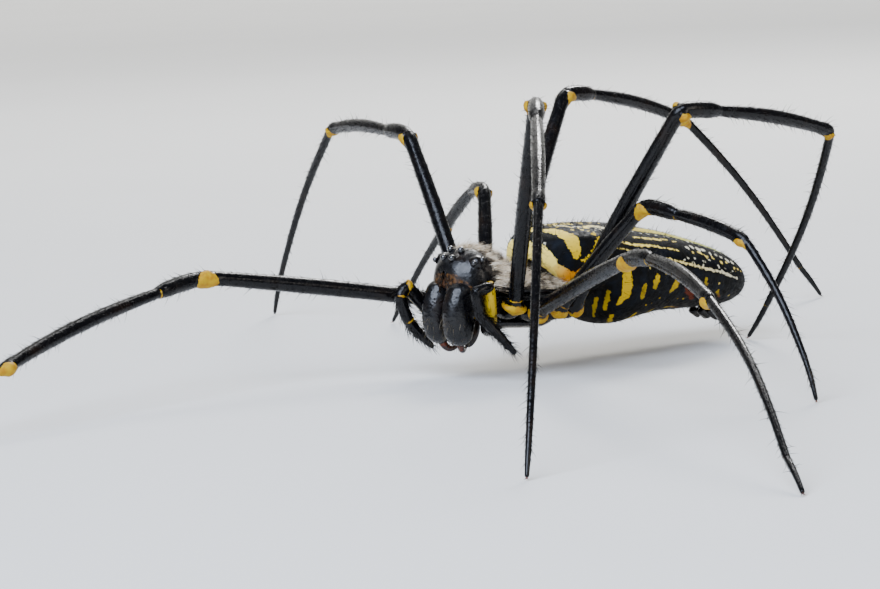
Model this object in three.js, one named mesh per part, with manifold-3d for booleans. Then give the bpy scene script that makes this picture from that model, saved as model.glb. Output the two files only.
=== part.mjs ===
// Golden silk orb weaver, adult female, standing. Millimetres, +Z up, feet on the plane z = 0.
// The body has a frame of its own: +X towards the face, +Y to the animal's left, +Z up.
import * as THREE from 'three';
import { mergeVertices } from 'three/addons/utils/BufferGeometryUtils.js';
import Module from 'manifold-3d';

const wasm = await Module();
wasm.setup();

// Driving dimensions

const GAP = 0.3;                         // free space kept between touching pieces
const BODY_AT = [15.7, 11.7, 7.6];       // body frame's origin, at the level of the hips
const HEADING = 218;                     // degrees, direction of the face seen from above
const PITCH = 6;                         // degrees, face raised over the tail end

// Each leg pair on the left side, in the body frame: where its coxa starts under the thorax, the
// hip at the coxa's end, and the lengths of the five articles from there.
const PAIRS = [
  {
    root: [3.7, 2.2, -1.6], hip: [3.9, 4.9, -1.2],
    femur: 25, patella: 6, tibia: 21.5, metatarsus: 26, tarsus: 5,
  },
  {
    root: [1.4, 2.2, -1.6], hip: [1.5, 5.5, -1.5],
    femur: 21.5, patella: 5.5, tibia: 16, metatarsus: 25, tarsus: 5,
  },
  {
    root: [-0.8, 2.2, -1.6], hip: [-0.9, 5.5, -1.5],
    femur: 15.4, patella: 4.5, tibia: 9, metatarsus: 13, tarsus: 4,
  },
  {
    root: [-2.8, 2.1, -1.5], hip: [-3.3, 5.0, -1.3],
    femur: 25.2, patella: 4.5, tibia: 15.5, metatarsus: 23.5, tarsus: 4.5,
  },
];

// Each leg's stance in degrees. swing: from the heading, positive to the animal's left.
// lean: of the leg's own plane about that direction. rise: of the femur over the horizontal.
// bends: at the patella, the tibia and the tarsus. reach: the leg's length against its pair's.
const STANCE = {
  right_1: { swing: -6, lean: -59, rise: 19, bends: [34, 8, 6], reach: 1 },
  right_2: { swing: -104, lean: -1, rise: 51, bends: [49, 4, 16], reach: 0.96 },
  right_3: { swing: -115, lean: -17, rise: 44, bends: [49, 27, 6], reach: 1 },
  right_4: { swing: -169, lean: 12, rise: 52, bends: [56, 11, 2], reach: 1 },
  left_1: { swing: 52, lean: 7, rise: 62, bends: [74, 5, 14], reach: 0.93 },
  left_2: { swing: 68, lean: 17, rise: 19, bends: [13, 13, 1], reach: 1.03 },
  left_3: { swing: 94, lean: 7, rise: 44, bends: [52, 5, 14], reach: 1 },
  left_4: { swing: 172, lean: -38, rise: 83, bends: [89, 9, 11], reach: 1 },
};

// Leg articles: half depth at the near end, the middle and the far end, and the middle's
// rise over the straight line as a share of the article's length.
const ARTICLES = {
  coxa: { radii: [0.8, 0.95, 0.84], bow: 0, sides: 10 },
  femur: { radii: [0.72, 0.82, 0.68], bow: 0.012, sides: 10 },
  patella: { radii: [0.66, 0.78, 0.62], bow: 0.03, sides: 8 },
  tibia: { radii: [0.58, 0.68, 0.56], bow: 0.03, sides: 8 },
  metatarsus: { radii: [0.46, 0.4, 0.32], bow: 0.04, sides: 8 },
  tarsus: { radii: [0.3, 0.28, 0.2], bow: 0.02, sides: 8 },
};
const SHORT_LEG = 0.94;                  // thickness of the third pair against the others

// Carapace sections from the rear margin to the clypeus: [x, half width, crown height].
const CARAPACE = [
  [-6.4, 1.7, 0.9], [-6.0, 3.1, 1.3], [-4.8, 4.5, 1.9], [-2.6, 5.3, 2.3], [-0.4, 5.5, 2.4],
  [1.8, 5.2, 3.1], [3.6, 4.3, 4.1], [5.2, 3.7, 4.55], [6.6, 3.45, 4.4], [7.7, 2.95, 3.9],
  [8.4, 2.2, 3.3], [8.8, 1.5, 2.8],
];
const CARAPACE_EDGE = 0.35;              // height of the carapace's side margin
const CORE_HALF_WIDTH = 1.4;             // of the thorax between the hips
const CORE_BOTTOM = -1.9;
const HEAD_FROM = 4.4;                   // x where the thorax passes into the head

// Sternum with the lip in front of it: [x, half width], a plate under the thorax.
const STERNUM = [
  [-4.8, 0.2], [-4.6, 0.6], [-3.6, 1.6], [-1.6, 2.5], [1.0, 2.75], [3.0, 2.3], [3.7, 1.3],
  [5.3, 1.0], [5.8, 0.6], [6.0, 0.2],
];
const STERNUM_TOP = -2.9;
const STERNUM_DEPTH = 0.9;

// Abdomen sections from the front to the tail: [x, half width, bottom, top, sag]. The sag is how
// far the flanks hang beside the carapace, which lies under the front of the abdomen.
const ABDOMEN = [
  [-0.7, 1.0, 3.5, 4.5, 0], [-1.0, 2.2, 3.0, 5.1, 0.1], [-1.8, 3.6, 2.8, 5.75, 0.5],
  [-3.3, 4.9, 2.65, 6.35, 1.3], [-5.4, 5.7, 2.1, 6.75, 1.6], [-7.3, 5.9, 1.5, 6.9, 1.3],
  [-8.9, 6.1, -2.5, 6.95, 0.3], [-11.4, 6.2, -3.2, 6.9, 0], [-14.4, 6.0, -2.6, 6.6, 0],
  [-17.6, 5.6, -2.0, 6.2, 0], [-20.8, 5.1, -1.8, 5.6, 0], [-23.8, 4.5, -1.6, 4.9, 0],
  [-26.4, 3.8, -1.4, 4.1, 0], [-28.2, 2.9, -0.9, 3.2, 0], [-29.2, 1.7, 0.0, 2.2, 0],
  [-29.5, 0.8, 0.6, 1.6, 0],
];
const ABDOMEN_SIDES = 20;
const PEDICEL = { from: -6.7, to: -7.3, level: -0.1, radius: 0.7 };
const SPINNERETS = {
  x: -24.8, top: -1.95, base: 1.3, thick: 0.5, spread: 0.6, length: 1.6, radius: 0.46, tilt: 55,
};

// Chelicera, left one: axis from the face down to the fang's root.
const CHELICERA = {
  top: [7.6, 1.62, 1.3], foot: [7.9, 1.5, -5.1],
  depth: [1.25, 1.75, 1.15], width: [1.2, 1.45, 1.05], sides: 14,
};
const FANG = { root: [7.5, 1.35, -5.5], tip: [5.8, 0.5, -5.5], sag: 0.4, radius: 0.4 };

// Palps: joints in the body frame from the jaw base to the tip, and half depth at each.
const PALP_RADII = [0.75, 0.6, 0.62, 0.6, 0.6, 0.58, 0.58, 0.56, 0.3];
const PALPS = {
  left: [
    [5.0, 2.0, -3.5], [6.1, 4.1, -3.1], [6.4, 4.8, -1.0], [6.7, 5.1, 0.5], [7.6, 5.1, 0.8],
    [8.1, 5.0, 0.0], [7.4, 5.1, -1.6], [6.3, 5.5, -3.3], [4.7, 6.2, -5.3],
  ],
  right: [
    [5.0, -2.0, -3.5], [6.4, -4.0, -2.8], [8.3, -4.5, -1.1], [9.5, -4.8, 0.1], [10.3, -4.8, 0.1],
    [10.4, -4.8, -0.9], [9.4, -4.6, -3.1], [8.4, -4.3, -4.6], [6.6, -4.0, -5.7],
  ],
};

// Eyes on the left: place in the body frame and radius. Each has its like on the right.
const EYES = {
  front_middle: { at: [8.45, 0.65, 3.35], radius: 0.34 },
  rear_middle: { at: [7.5, 0.8, 4.15], radius: 0.34 },
  front_side: { at: [7.6, 3.0, 3.0], radius: 0.27 },
  rear_side: { at: [6.8, 3.25, 3.35], radius: 0.27 },
};
const EYE_SOCKET = 0.3;                  // clearance of an eye's socket in the carapace
const TUBERCLE = { at: [6.85, 2.55, 2.95], radius: 0.8 };

// Finishes

const finish = (color, roughness) => new THREE.MeshStandardMaterial({ color, roughness, metalness: 0 });
const CUTICLE = finish('#15161a', 0.3);
const DOWNY = finish('#b3a88c', 0.85);
const PATTERNED = finish('#3a3a30', 0.6);
const HORN = finish('#5a2c14', 0.35);
const LENS = finish('#0b0b0d', 0.05);
const PALP_SKIN = finish('#8a7420', 0.55);

// Small helpers

const rad = THREE.MathUtils.degToRad;
const vec = (p) => new THREE.Vector3(...p);
const mirrored = (p) => [p[0], -p[1], p[2]];
const UP = new THREE.Vector3(0, 0, 1);

/** Closed mesh over rings of equal count, each counter-clockwise about the line of travel. */
function loft(rings) {
  const count = rings[0].length;
  const points = rings.flat();
  const centre = (ring) => ring.reduce((sum, p) => sum.add(p), new THREE.Vector3()).divideScalar(count);
  points.push(centre(rings[0]), centre(rings[rings.length - 1]));
  const first = points.length - 2;
  const last = points.length - 1;
  const index = [];
  for (let i = 0; i + 1 < rings.length; i++) {
    for (let j = 0; j < count; j++) {
      const a = i * count + j;
      const b = i * count + (j + 1) % count;
      index.push(a, b, b + count, a, b + count, a + count);
    }
  }
  const rim = (rings.length - 1) * count;
  for (let j = 0; j < count; j++) {
    const next = (j + 1) % count;
    index.push(first, next, j, last, rim + j, rim + next);
  }
  const geometry = new THREE.BufferGeometry();
  geometry.setAttribute('position', new THREE.Float32BufferAttribute(points.flatMap((p) => p.toArray()), 3));
  geometry.setIndex(index);
  return geometry;
}

/** Ring of an ellipse about centre, across travel; depth lies along the given back direction. */
function ellipseRing(centre, travel, back, depth, width, sides) {
  const side = new THREE.Vector3().crossVectors(back, travel).normalize();
  const top = new THREE.Vector3().crossVectors(travel, side).normalize();
  return Array.from({ length: sides }, (_, j) => {
    const a = -2 * Math.PI * (j + 0.5) / sides;
    return centre.clone().addScaledVector(top, depth * Math.cos(a)).addScaledVector(side, width * Math.sin(a));
  });
}

/** Value of a smooth curve through three values at 0, 0.5 and 1. */
function through(values, t) {
  const [a, b, c] = values;
  return a * (1 - t) * (1 - 2 * t) + 4 * b * t * (1 - t) + c * t * (2 * t - 1);
}

/** Tube with domed ends between two points, bowed towards its back. */
function article(from, to, back, { depth, width, bow, sides, steps = 3, ends = [1, 1] }) {
  const length = from.distanceTo(to);
  const travel = to.clone().sub(from).normalize();
  const dome = [[0.12, 0.5], [0.5, 0.87]];
  const stations = [];
  const near = depth[0] * ends[0];
  const far = depth[2] * ends[1];
  for (const [along, share] of dome) stations.push([near * along, share]);
  for (let i = 0; i <= steps; i++) stations.push([near + (length - near - far) * i / steps, 1]);
  for (const [along, share] of dome.reverse()) stations.push([length - far * along, share]);
  return loft(stations.map(([x, share]) => {
    const t = x / length;
    const centre = from.clone().addScaledVector(travel, x)
      .addScaledVector(back, bow * length * Math.sin(Math.PI * t));
    return ellipseRing(centre, travel, back, through(depth, t) * share, through(width, t) * share, sides);
  }));
}

/** Tube through several points with domed ends. */
function bentTube(points, radii, back, sides) {
  const rings = [];
  const last = points.length - 1;
  points.forEach((p, i) => {
    const before = points[Math.max(i - 1, 0)];
    const after = points[Math.min(i + 1, last)];
    const travel = after.clone().sub(before).normalize();
    const add = (along, share) => {
      const size = radii[i] * share;
      rings.push(ellipseRing(p.clone().addScaledVector(travel, along), travel, back, size, size, sides));
    };
    if (i === 0) add(-radii[0] * 0.7, 0.6);
    add(0, 1);
    if (i === last) add(radii[last] * 0.7, 0.6);
  });
  return loft(rings);
}

/** Solid of a geometry, for joining and cutting. */
function solid(geometry) {
  const plain = geometry.index ? geometry.clone() : geometry;
  plain.deleteAttribute('normal');
  plain.deleteAttribute('uv');
  const merged = mergeVertices(plain, 1e-5);
  return new wasm.Manifold(new wasm.Mesh({
    numProp: 3,
    vertProperties: new Float32Array(merged.attributes.position.array),
    triVerts: new Uint32Array(merged.index.array),
  }));
}

/** Geometry of a solid's largest closed surface. */
function surface(body) {
  const largest = body.decompose().reduce((a, b) => (b.volume() > a.volume() ? b : a));
  const mesh = largest.getMesh();
  const geometry = new THREE.BufferGeometry();
  geometry.setAttribute('position', new THREE.Float32BufferAttribute(mesh.vertProperties, 3));
  geometry.setIndex(new THREE.BufferAttribute(mesh.triVerts, 1));
  return geometry;
}

/** Low ball at a place in the body frame. */
function ball(at, radius, sides = 10, rows = 6) {
  return new THREE.SphereGeometry(radius, sides, rows).translate(...at);
}

// The group and the body's own frame

const spider = new THREE.Group();
const body = new THREE.Group();
body.position.set(...BODY_AT);
body.rotation.set(0, -rad(PITCH), rad(HEADING), 'ZYX');
spider.add(body);
body.updateMatrixWorld(true);

/** Adds a named piece to a group. */
function piece(parent, name, geometry, material) {
  const mesh = new THREE.Mesh(geometry, material);
  mesh.name = name;
  parent.add(mesh);
}

// Carapace with the thorax core, open sockets for the eyes

function carapaceRing([x, half, crown]) {
  const core = Math.min(CORE_HALF_WIDTH, half * 0.75);
  const floor = x > HEAD_FROM ? CORE_BOTTOM + (x - HEAD_FROM) * 0.95 : CORE_BOTTOM;
  const dome = [];
  for (let j = 0; j <= 10; j++) {
    const a = Math.PI * j / 10;
    const lift = Math.sin(a) ** (x > HEAD_FROM ? 0.6 : 0.8);
    dome.push([-half * Math.cos(a), CARAPACE_EDGE + (crown - CARAPACE_EDGE) * lift]);
  }
  const under = [
    [half - 0.35, CARAPACE_EDGE - 0.35], [core + 0.2, CARAPACE_EDGE - 0.5], [core, CORE_BOTTOM / 2],
    [core * 0.7, floor], [-core * 0.7, floor], [-core, CORE_BOTTOM / 2], [-core - 0.2, CARAPACE_EDGE - 0.5],
    [0.35 - half, CARAPACE_EDGE - 0.35],
  ];
  return [...dome, ...under].map(([y, z]) => new THREE.Vector3(x, y, z)).reverse();
}

function carapace() {
  let shell = solid(loft(CARAPACE.map(carapaceRing)));
  for (const side of [1, -1]) {
    const [x, y, z] = TUBERCLE.at;
    shell = shell.add(solid(ball([x, side * y, z], TUBERCLE.radius, 12, 8)));
  }
  for (const { at, radius } of Object.values(EYES)) {
    for (const place of [at, mirrored(at)]) {
      shell = shell.subtract(solid(ball(place, radius + EYE_SOCKET, 10, 6)));
    }
  }
  for (const side of [1, -1]) shell = shell.subtract(solid(chelicera(side, GAP)));
  return surface(shell);
}

function sternum() {
  const rings = STERNUM.map(([x, half]) => {
    const drop = STERNUM_DEPTH * Math.min(1, 0.45 + half / 5);
    const section = [[half, 0], [half * 0.8, -drop * 0.7], [0, -drop], [-half * 0.8, -drop * 0.7], [-half, 0]];
    return section.map(([y, z]) => new THREE.Vector3(x, y, STERNUM_TOP + z)).reverse();
  });
  return loft(rings);
}

function abdomen() {
  const rings = ABDOMEN.map(([x, half, bottom, top, sag]) => {
    const centre = new THREE.Vector3(x, 0, (bottom + top) / 2);
    const tall = (top - bottom) / 2;
    const ring = ellipseRing(centre, new THREE.Vector3(-1, 0, 0), UP, tall, half, ABDOMEN_SIDES);
    for (const p of ring) {
      const below = THREE.MathUtils.smoothstep((centre.z - p.z) / tall, -0.6, 0.4);
      p.z -= sag * below * (Math.abs(p.y) / half) ** 1.2;
    }
    return ring;
  });
  return loft(rings);
}

function spinnerets() {
  const { x, top, base, thick, spread, length, radius, tilt } = SPINNERETS;
  const plinth = new THREE.CylinderGeometry(base * 0.85, base, thick, 14).rotateX(-Math.PI / 2);
  let group = solid(plinth.translate(x, 0, top - thick / 2));
  for (const [along, across] of [[1, 1], [1, -1], [-1, 1], [-1, -1]]) {
    const cone = new THREE.CylinderGeometry(radius, radius * 0.4, length, 8).rotateX(Math.PI / 2);
    cone.translate(0, 0, -length / 2).rotateY(rad(tilt));
    cone.translate(x + along * spread, across * spread, top - thick * 0.6);
    group = group.add(solid(cone));
  }
  return surface(group);
}

function chelicera(side, grown = 0) {
  const { top, foot, depth, width, sides } = CHELICERA;
  const place = ([x, y, z]) => new THREE.Vector3(x, side * y, z);
  const wider = (values) => values.map((v) => v + grown);
  const from = place(top).addScaledVector(UP, grown);
  const to = place(foot).addScaledVector(UP, -grown);
  return article(from, to, new THREE.Vector3(1, 0, 0), {
    depth: wider(depth), width: wider(width), bow: 0.05, sides, steps: 5, ends: [0.8, 0.9],
  });
}

function fang(side) {
  const [rx, ry, rz] = FANG.root;
  const [tx, ty, tz] = FANG.tip;
  const points = Array.from({ length: 5 }, (_, i) => {
    const t = i / 4;
    return new THREE.Vector3(rx + (tx - rx) * t, side * (ry + (ty - ry) * t),
      rz + (tz - rz) * t - FANG.sag * Math.sin(Math.PI * t) - GAP);
  });
  const radii = points.map((_, i) => FANG.radius * (1 - 0.62 * i / 4));
  return bentTube(points, radii, UP, 8);
}

function palp(side) {
  const points = PALPS[side].map(vec);
  return bentTube(points, PALP_RADII, new THREE.Vector3(0.6, side === 'left' ? 1 : -1, 0.3).normalize(), 8);
}

// Legs

/** Unit vectors of a leg's own plane. */
function legPlane({ swing, lean }) {
  const azimuth = rad(HEADING + swing);
  const out = new THREE.Vector3(Math.cos(azimuth), Math.sin(azimuth), 0);
  const across = new THREE.Vector3(-Math.sin(azimuth), Math.cos(azimuth), 0);
  const up = UP.clone().multiplyScalar(Math.cos(rad(lean))).addScaledVector(across, Math.sin(rad(lean)));
  const along = (angle) => out.clone().multiplyScalar(Math.cos(angle)).addScaledVector(up, Math.sin(angle));
  return { along };
}

/** Slope of the metatarsus, below the tibia's, that lands the tip of the tarsus at the given height. */
function landing(start, lengths, slope, tarsusBend, plane, height) {
  const tip = (angle) => start.clone()
    .addScaledVector(plane.along(angle), lengths.metatarsus)
    .addScaledVector(plane.along(angle - tarsusBend), lengths.tarsus).z - height;
  let high = slope + rad(20);
  let low = high;
  for (let turn = 0; turn < 150 && tip(low) > 0; turn++) {
    high = low;
    low -= rad(1);
  }
  for (let i = 0; i < 30; i++) {
    const middle = (low + high) / 2;
    if (tip(middle) > 0) high = middle;
    else low = middle;
  }
  return high;
}

/** Joints of a leg from the hip to the tip, with the slope of each article. */
function legChain(name, pair) {
  const stance = STANCE[name];
  const side = name.startsWith('left') ? 1 : -1;
  const plane = legPlane(stance);
  const lengths = Object.fromEntries(['femur', 'patella', 'tibia', 'metatarsus', 'tarsus']
    .map((key) => [key, pair[key] * stance.reach]));
  const place = ([x, y, z]) => body.localToWorld(new THREE.Vector3(x, side * y, z));
  const [atPatella, atTibia, atTarsus] = stance.bends.map(rad);
  const joints = [place(pair.hip)];
  const slopes = [rad(stance.rise)];
  slopes.push(slopes[0] - atPatella);
  slopes.push(slopes[1] - atTibia);
  ['femur', 'patella', 'tibia'].forEach((key, i) => {
    joints.push(joints[i].clone().addScaledVector(plane.along(slopes[i]), lengths[key]));
  });
  const slope = landing(joints[3], lengths, slopes[2], atTarsus, plane, ARTICLES.tarsus.radii[2] * 0.8);
  slopes.push(slope, slope - atTarsus);
  ['metatarsus', 'tarsus'].forEach((key, i) => {
    joints.push(joints[i + 3].clone().addScaledVector(plane.along(slopes[i + 3]), lengths[key]));
  });
  return { root: place(pair.root), joints, slopes, plane };
}

/** Room that an article leaves at a joint, so that its dome clears its neighbour's. */
function setback(radius, bend) {
  return (radius + GAP / 2) / Math.cos(Math.abs(bend) / 2) - radius;
}

/** Flattens what lies under the floor onto it. */
function standing(geometry) {
  const position = geometry.attributes.position;
  for (let i = 0; i < position.count; i++) position.setZ(i, Math.max(position.getZ(i), 0));
  return geometry;
}

function leg(name, pair, thickness) {
  const { root, joints, slopes, plane } = legChain(name, pair);
  const backs = slopes.map((slope) => plane.along(slope + Math.PI / 2));
  const tube = (key, from, to, back, before, after) => {
    const { radii, bow, sides } = ARTICLES[key];
    const depth = radii.map((r) => r * thickness);
    const travel = to.clone().sub(from).normalize();
    const start = from.clone().addScaledVector(travel, setback(depth[0], before));
    const end = to.clone().addScaledVector(travel, -setback(depth[2], after));
    const width = depth.map((r) => r * 0.95);
    return article(start, end, back, { depth, width, bow, sides, steps: key === 'femur' ? 4 : 3 });
  };
  const hipBend = joints[0].clone().sub(root).angleTo(plane.along(slopes[0]));
  const bend = (i) => slopes[i - 1] - slopes[i];
  piece(spider, `${name}_coxa`, tube('coxa', root, joints[0], UP, 0, hipBend), CUTICLE);
  piece(spider, `${name}_femur`, tube('femur', joints[0], joints[1], backs[0], hipBend, bend(1)), CUTICLE);
  piece(spider, `${name}_patella`, tube('patella', joints[1], joints[2], backs[1], bend(1), bend(2)), CUTICLE);
  piece(spider, `${name}_tibia`, tube('tibia', joints[2], joints[3], backs[2], bend(2), bend(3)), CUTICLE);
  piece(spider, `${name}_foot`, foot(joints, backs, bend(3), thickness), CUTICLE);
}

/** Metatarsus and tarsus in one piece, with a flat under the tip. */
function foot(joints, backs, before, thickness) {
  const upper = ARTICLES.metatarsus;
  const lower = ARTICLES.tarsus;
  const first = setback(upper.radii[0] * thickness, before);
  const reach = joints[3].distanceTo(joints[4]);
  const points = [];
  const radii = [];
  for (const t of [first / reach + 0.012, 0.3, 0.65, 1]) {
    const bow = upper.bow * reach * Math.sin(Math.PI * t);
    points.push(joints[3].clone().lerp(joints[4], t).addScaledVector(backs[3], bow));
    radii.push(through(upper.radii, t) * thickness);
  }
  for (const t of [0.2, 0.6, 1]) {
    points.push(joints[4].clone().lerp(joints[5], t));
    radii.push(through(lower.radii, t) * thickness);
  }
  return standing(bentTube(points, radii, backs[3], upper.sides));
}

// Assembly

piece(body, 'carapace', carapace(), DOWNY);
piece(body, 'sternum', sternum(), CUTICLE);
piece(body, 'abdomen', abdomen(), PATTERNED);
piece(body, 'spinnerets', spinnerets(), CUTICLE);
const waist = new THREE.CylinderGeometry(PEDICEL.radius, PEDICEL.radius, PEDICEL.from - PEDICEL.to, 12);
waist.rotateZ(Math.PI / 2).translate((PEDICEL.from + PEDICEL.to) / 2, 0, PEDICEL.level);
piece(body, 'pedicel', waist, CUTICLE);
for (const [side, sign] of [['left', 1], ['right', -1]]) {
  piece(body, `chelicera_${side}`, chelicera(sign), CUTICLE);
  piece(body, `fang_${side}`, fang(sign), HORN);
  piece(body, `palp_${side}`, palp(side), PALP_SKIN);
  for (const [kind, { at, radius }] of Object.entries(EYES)) {
    piece(body, `eye_${kind}_${side}`, ball(sign > 0 ? at : mirrored(at), radius, 8, 6), LENS);
  }
}
for (const name of Object.keys(STANCE)) {
  const number = Number(name.slice(-1));
  leg(name, PAIRS[number - 1], number === 3 ? SHORT_LEG : 1);
}

export default spider;
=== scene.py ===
"""Golden silk orb weaver, adult female, standing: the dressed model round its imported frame.

Sizes in the classes are millimetres and angles are degrees, unless a comment says otherwise.
The body has a frame of its own: +X towards the face, +Y to the animal's left, +Z up.
"""
import logging
import math
from dataclasses import dataclass, field, replace
from enum import Enum
from functools import partial
from typing import Any, Callable, ClassVar, Iterable, Sequence

import bpy
import numpy as np
from mathutils import Matrix, Vector


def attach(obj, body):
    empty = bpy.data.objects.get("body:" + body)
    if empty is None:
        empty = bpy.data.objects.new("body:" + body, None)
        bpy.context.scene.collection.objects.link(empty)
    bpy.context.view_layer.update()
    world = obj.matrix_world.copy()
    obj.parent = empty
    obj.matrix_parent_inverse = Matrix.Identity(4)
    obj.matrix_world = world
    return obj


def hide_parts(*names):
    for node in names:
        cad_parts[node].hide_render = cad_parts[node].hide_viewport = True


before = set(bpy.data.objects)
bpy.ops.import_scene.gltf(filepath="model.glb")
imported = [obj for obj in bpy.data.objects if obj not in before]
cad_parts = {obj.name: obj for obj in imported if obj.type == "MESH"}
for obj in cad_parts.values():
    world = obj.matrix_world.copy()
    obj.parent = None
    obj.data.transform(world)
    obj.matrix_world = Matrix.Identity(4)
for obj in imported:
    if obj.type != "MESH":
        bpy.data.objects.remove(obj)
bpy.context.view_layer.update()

LOG = logging.getLogger("spider")
MM = 0.001
ROOT = "root"
UP = np.array([0.0, 0.0, 1.0])
FORWARD = np.array([1.0, 0.0, 0.0])
BACKWARD = np.array([-1.0, 0.0, 0.0])
Points = np.ndarray
Triple = tuple[float, float, float]
Object = bpy.types.Object
Tree = bpy.types.NodeTree


class Side(Enum):
    """The animal's own left or right."""

    LEFT = 1
    RIGHT = -1

    @property
    def word(self) -> str:
        """Name as the nodes spell it."""
        return self.name.lower()

    def of(self, place: Sequence[float]) -> Points:
        """A place or direction of the left side, on this side."""
        return np.array(place, float) * [1, self.value, 1]


# Small helpers


def to_linear(code: str) -> tuple[float, float, float, float]:
    """Linear colour of an sRGB hex code.

    Args:
        code: Six hex digits after a hash sign.

    Returns:
        Red, green, blue and a full alpha.
    """
    parts = [int(code[i:i + 2], 16) / 255 for i in (1, 3, 5)]
    red, green, blue = (c / 12.92 if c <= 0.04045 else ((c + 0.055) / 1.055) ** 2.4 for c in parts)
    return red, green, blue, 1.0


def add_node(tree: Tree, kind: str, links: dict[Any, Any] | None = None, **settings: Any) -> Any:
    """Adds a node with its settings, values and links.

    Args:
        tree: Node tree that gets the node.
        kind: Blender's name of the node's class.
        links: Input's name or index to a value, or to the output socket that feeds it.
        settings: Properties of the node.

    Returns:
        The new node.
    """
    node = tree.nodes.new(kind)
    for name, value in settings.items():
        setattr(node, name, value)
    for key, value in (links or {}).items():
        if isinstance(value, bpy.types.NodeSocket):
            tree.links.new(value, node.inputs[key])
        else:
            node.inputs[key].default_value = value
    return node


def unit(vectors: Points) -> Points:
    """Vectors at length one."""
    return vectors / (np.linalg.norm(vectors, axis=-1, keepdims=True) + 1e-12)


def smoothstep(low: float, high: float, x: Points) -> Points:
    """Smooth step from 0 at low to 1 at high."""
    t = np.clip((x - low) / (high - low), 0, 1)
    return t * t * (3 - 2 * t)


def through(values: Sequence[float], t: Points) -> Points:
    """Curve through three values at 0, 0.5 and 1."""
    a, b, c = values
    return a * (1 - t) * (1 - 2 * t) + 4 * b * t * (1 - t) + c * t * (2 * t - 1)


def spline(rows: Sequence[Sequence[float]], count: int) -> Points:
    """Smooth curve through rows of numbers.

    Args:
        rows: The rows that the curve passes through, two or more.
        count: Rows wanted.

    Returns:
        Rows spaced evenly along the curve.
    """
    knots = np.array(rows, float)
    knots = np.vstack([2 * knots[0] - knots[1], knots, 2 * knots[-1] - knots[-2]])
    fine = []
    for a, b, c, d in zip(knots, knots[1:], knots[2:], knots[3:]):
        t = np.linspace(0, 1, 40, endpoint=False)[:, None]
        fine.append(0.5 * (2 * b + (c - a) * t + (2 * a - 5 * b + 4 * c - d) * t ** 2
                           + (3 * b - a - 3 * c + d) * t ** 3))
    curve = np.vstack([*fine, knots[-2][None]])
    along = np.concatenate([[0], np.cumsum(np.linalg.norm(np.diff(curve, axis=0), axis=1))])
    wanted = np.linspace(0, along[-1], count)
    return np.stack([np.interp(wanted, along, column) for column in curve.T], 1)


def to_lines(points: Points, line: Points) -> Points:
    """Distance of points from a broken line, and the share of the line's points they are nearest to.

    Args:
        points: Points, one a row.
        line: Corners of the line, one a row.

    Returns:
        Two columns: the distance, and the place along the line counted in corners.
    """
    best = np.full(len(points), 1e9)
    place = np.zeros(len(points))
    for i, (a, b) in enumerate(zip(line, line[1:])):
        run = b - a
        t = np.clip((points - a) @ run / max(run @ run, 1e-12), 0, 1)
        gap = np.linalg.norm(points - a - t[:, None] * run, axis=1)
        place = np.where(gap < best, i + t, place)
        best = np.minimum(best, gap)
    return np.stack([best, place], 1)


def around(sides: int) -> Points:
    """Angles of a ring's points, counted from its back."""
    return 2 * np.pi * np.arange(sides) / sides


def ring(centre: Points, travel: Points, back: Points, depth: Points, width: Points, sides: int) -> Points:
    """Elliptic rings across a path, the first point of each at the back.

    Args:
        centre: Ring centres, one a row.
        travel: Direction of the path, one for all rings or one a row.
        back: Direction of the back, as many, roughly square to the path.
        depth: Half size along the back.
        width: Half size across it.
        sides: Points in each ring.

    Returns:
        Points by ring and side.
    """
    travel, back = (np.broadcast_to(ways, centre.shape) for ways in (travel, back))
    side = unit(np.cross(back, travel))
    top = unit(np.cross(travel, side))
    turn = around(sides)
    reach = np.cos(turn)[None, :, None] * top[:, None] * np.reshape(depth, (len(centre), -1, 1))
    across = np.sin(turn)[None, :, None] * side[:, None] * np.reshape(width, (len(centre), -1, 1))
    return centre[:, None] + reach + across


def placed(name: str, data: Any) -> Object:
    """Puts a new object into the scene.

    Args:
        name: Name of the object.
        data: Its mesh, light or camera.

    Returns:
        The object.
    """
    made = bpy.data.objects.new(name, data)
    bpy.context.scene.collection.objects.link(made)
    return made


def skin(name: str, rings: Points, marks: dict[str, Points] | None = None) -> Object:
    """Closed smooth surface over rings of points, with a pole at either end.

    Args:
        name: Name of the piece.
        rings: Points by ring and side, in the row's frame.
        marks: Attribute name to values by ring and side, single numbers or vectors.

    Returns:
        The object, linked to the scene.
    """
    count, sides, _ = rings.shape
    points = np.vstack([rings.reshape(-1, 3), rings[0].mean(0), rings[-1].mean(0)]) * MM
    here = np.arange(sides)
    following = (here + 1) % sides
    rim = (count - 1) * sides
    rows = np.arange(count - 1)[:, None] * sides
    a, b = (rows + here).ravel(), (rows + following).ravel()
    quads = np.stack([a, b, b + sides, a + sides], 1)
    first = np.stack([np.full(sides, count * sides), following, here], 1)
    last = np.stack([np.full(sides, count * sides + 1), rim + here, rim + following], 1)
    corners = points[quads]
    volume = sum(np.einsum("ij,ij->i", corners[:, 0], np.cross(corners[:, i], corners[:, i + 1])).sum()
                 for i in (1, 2))
    faces = quads.tolist() + first.tolist() + last.tolist()
    if volume < 0:                      # the faces look inwards
        faces = [face[::-1] for face in faces]
    mesh = bpy.data.meshes.new(name)
    mesh.from_pydata(points.tolist(), [], faces)
    u, v = np.meshgrid(np.linspace(0.02, 0.98, count), np.arange(sides) / sides, indexing="ij")
    values = {"skin_uv": np.stack([u, v, np.zeros_like(u)], 2), **(marks or {})}
    for key, value in values.items():
        flat = value.reshape(count * sides, -1)
        flat = np.vstack([flat, flat[:sides].mean(0), flat[-sides:].mean(0)])
        kind, field_name = ("FLOAT", "value") if flat.shape[1] == 1 else ("FLOAT_VECTOR", "vector")
        mesh.attributes.new(key, kind, "POINT").data.foreach_set(field_name, flat.astype(np.float32).ravel())
    mesh.shade_smooth()
    return placed(name, mesh)


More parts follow.
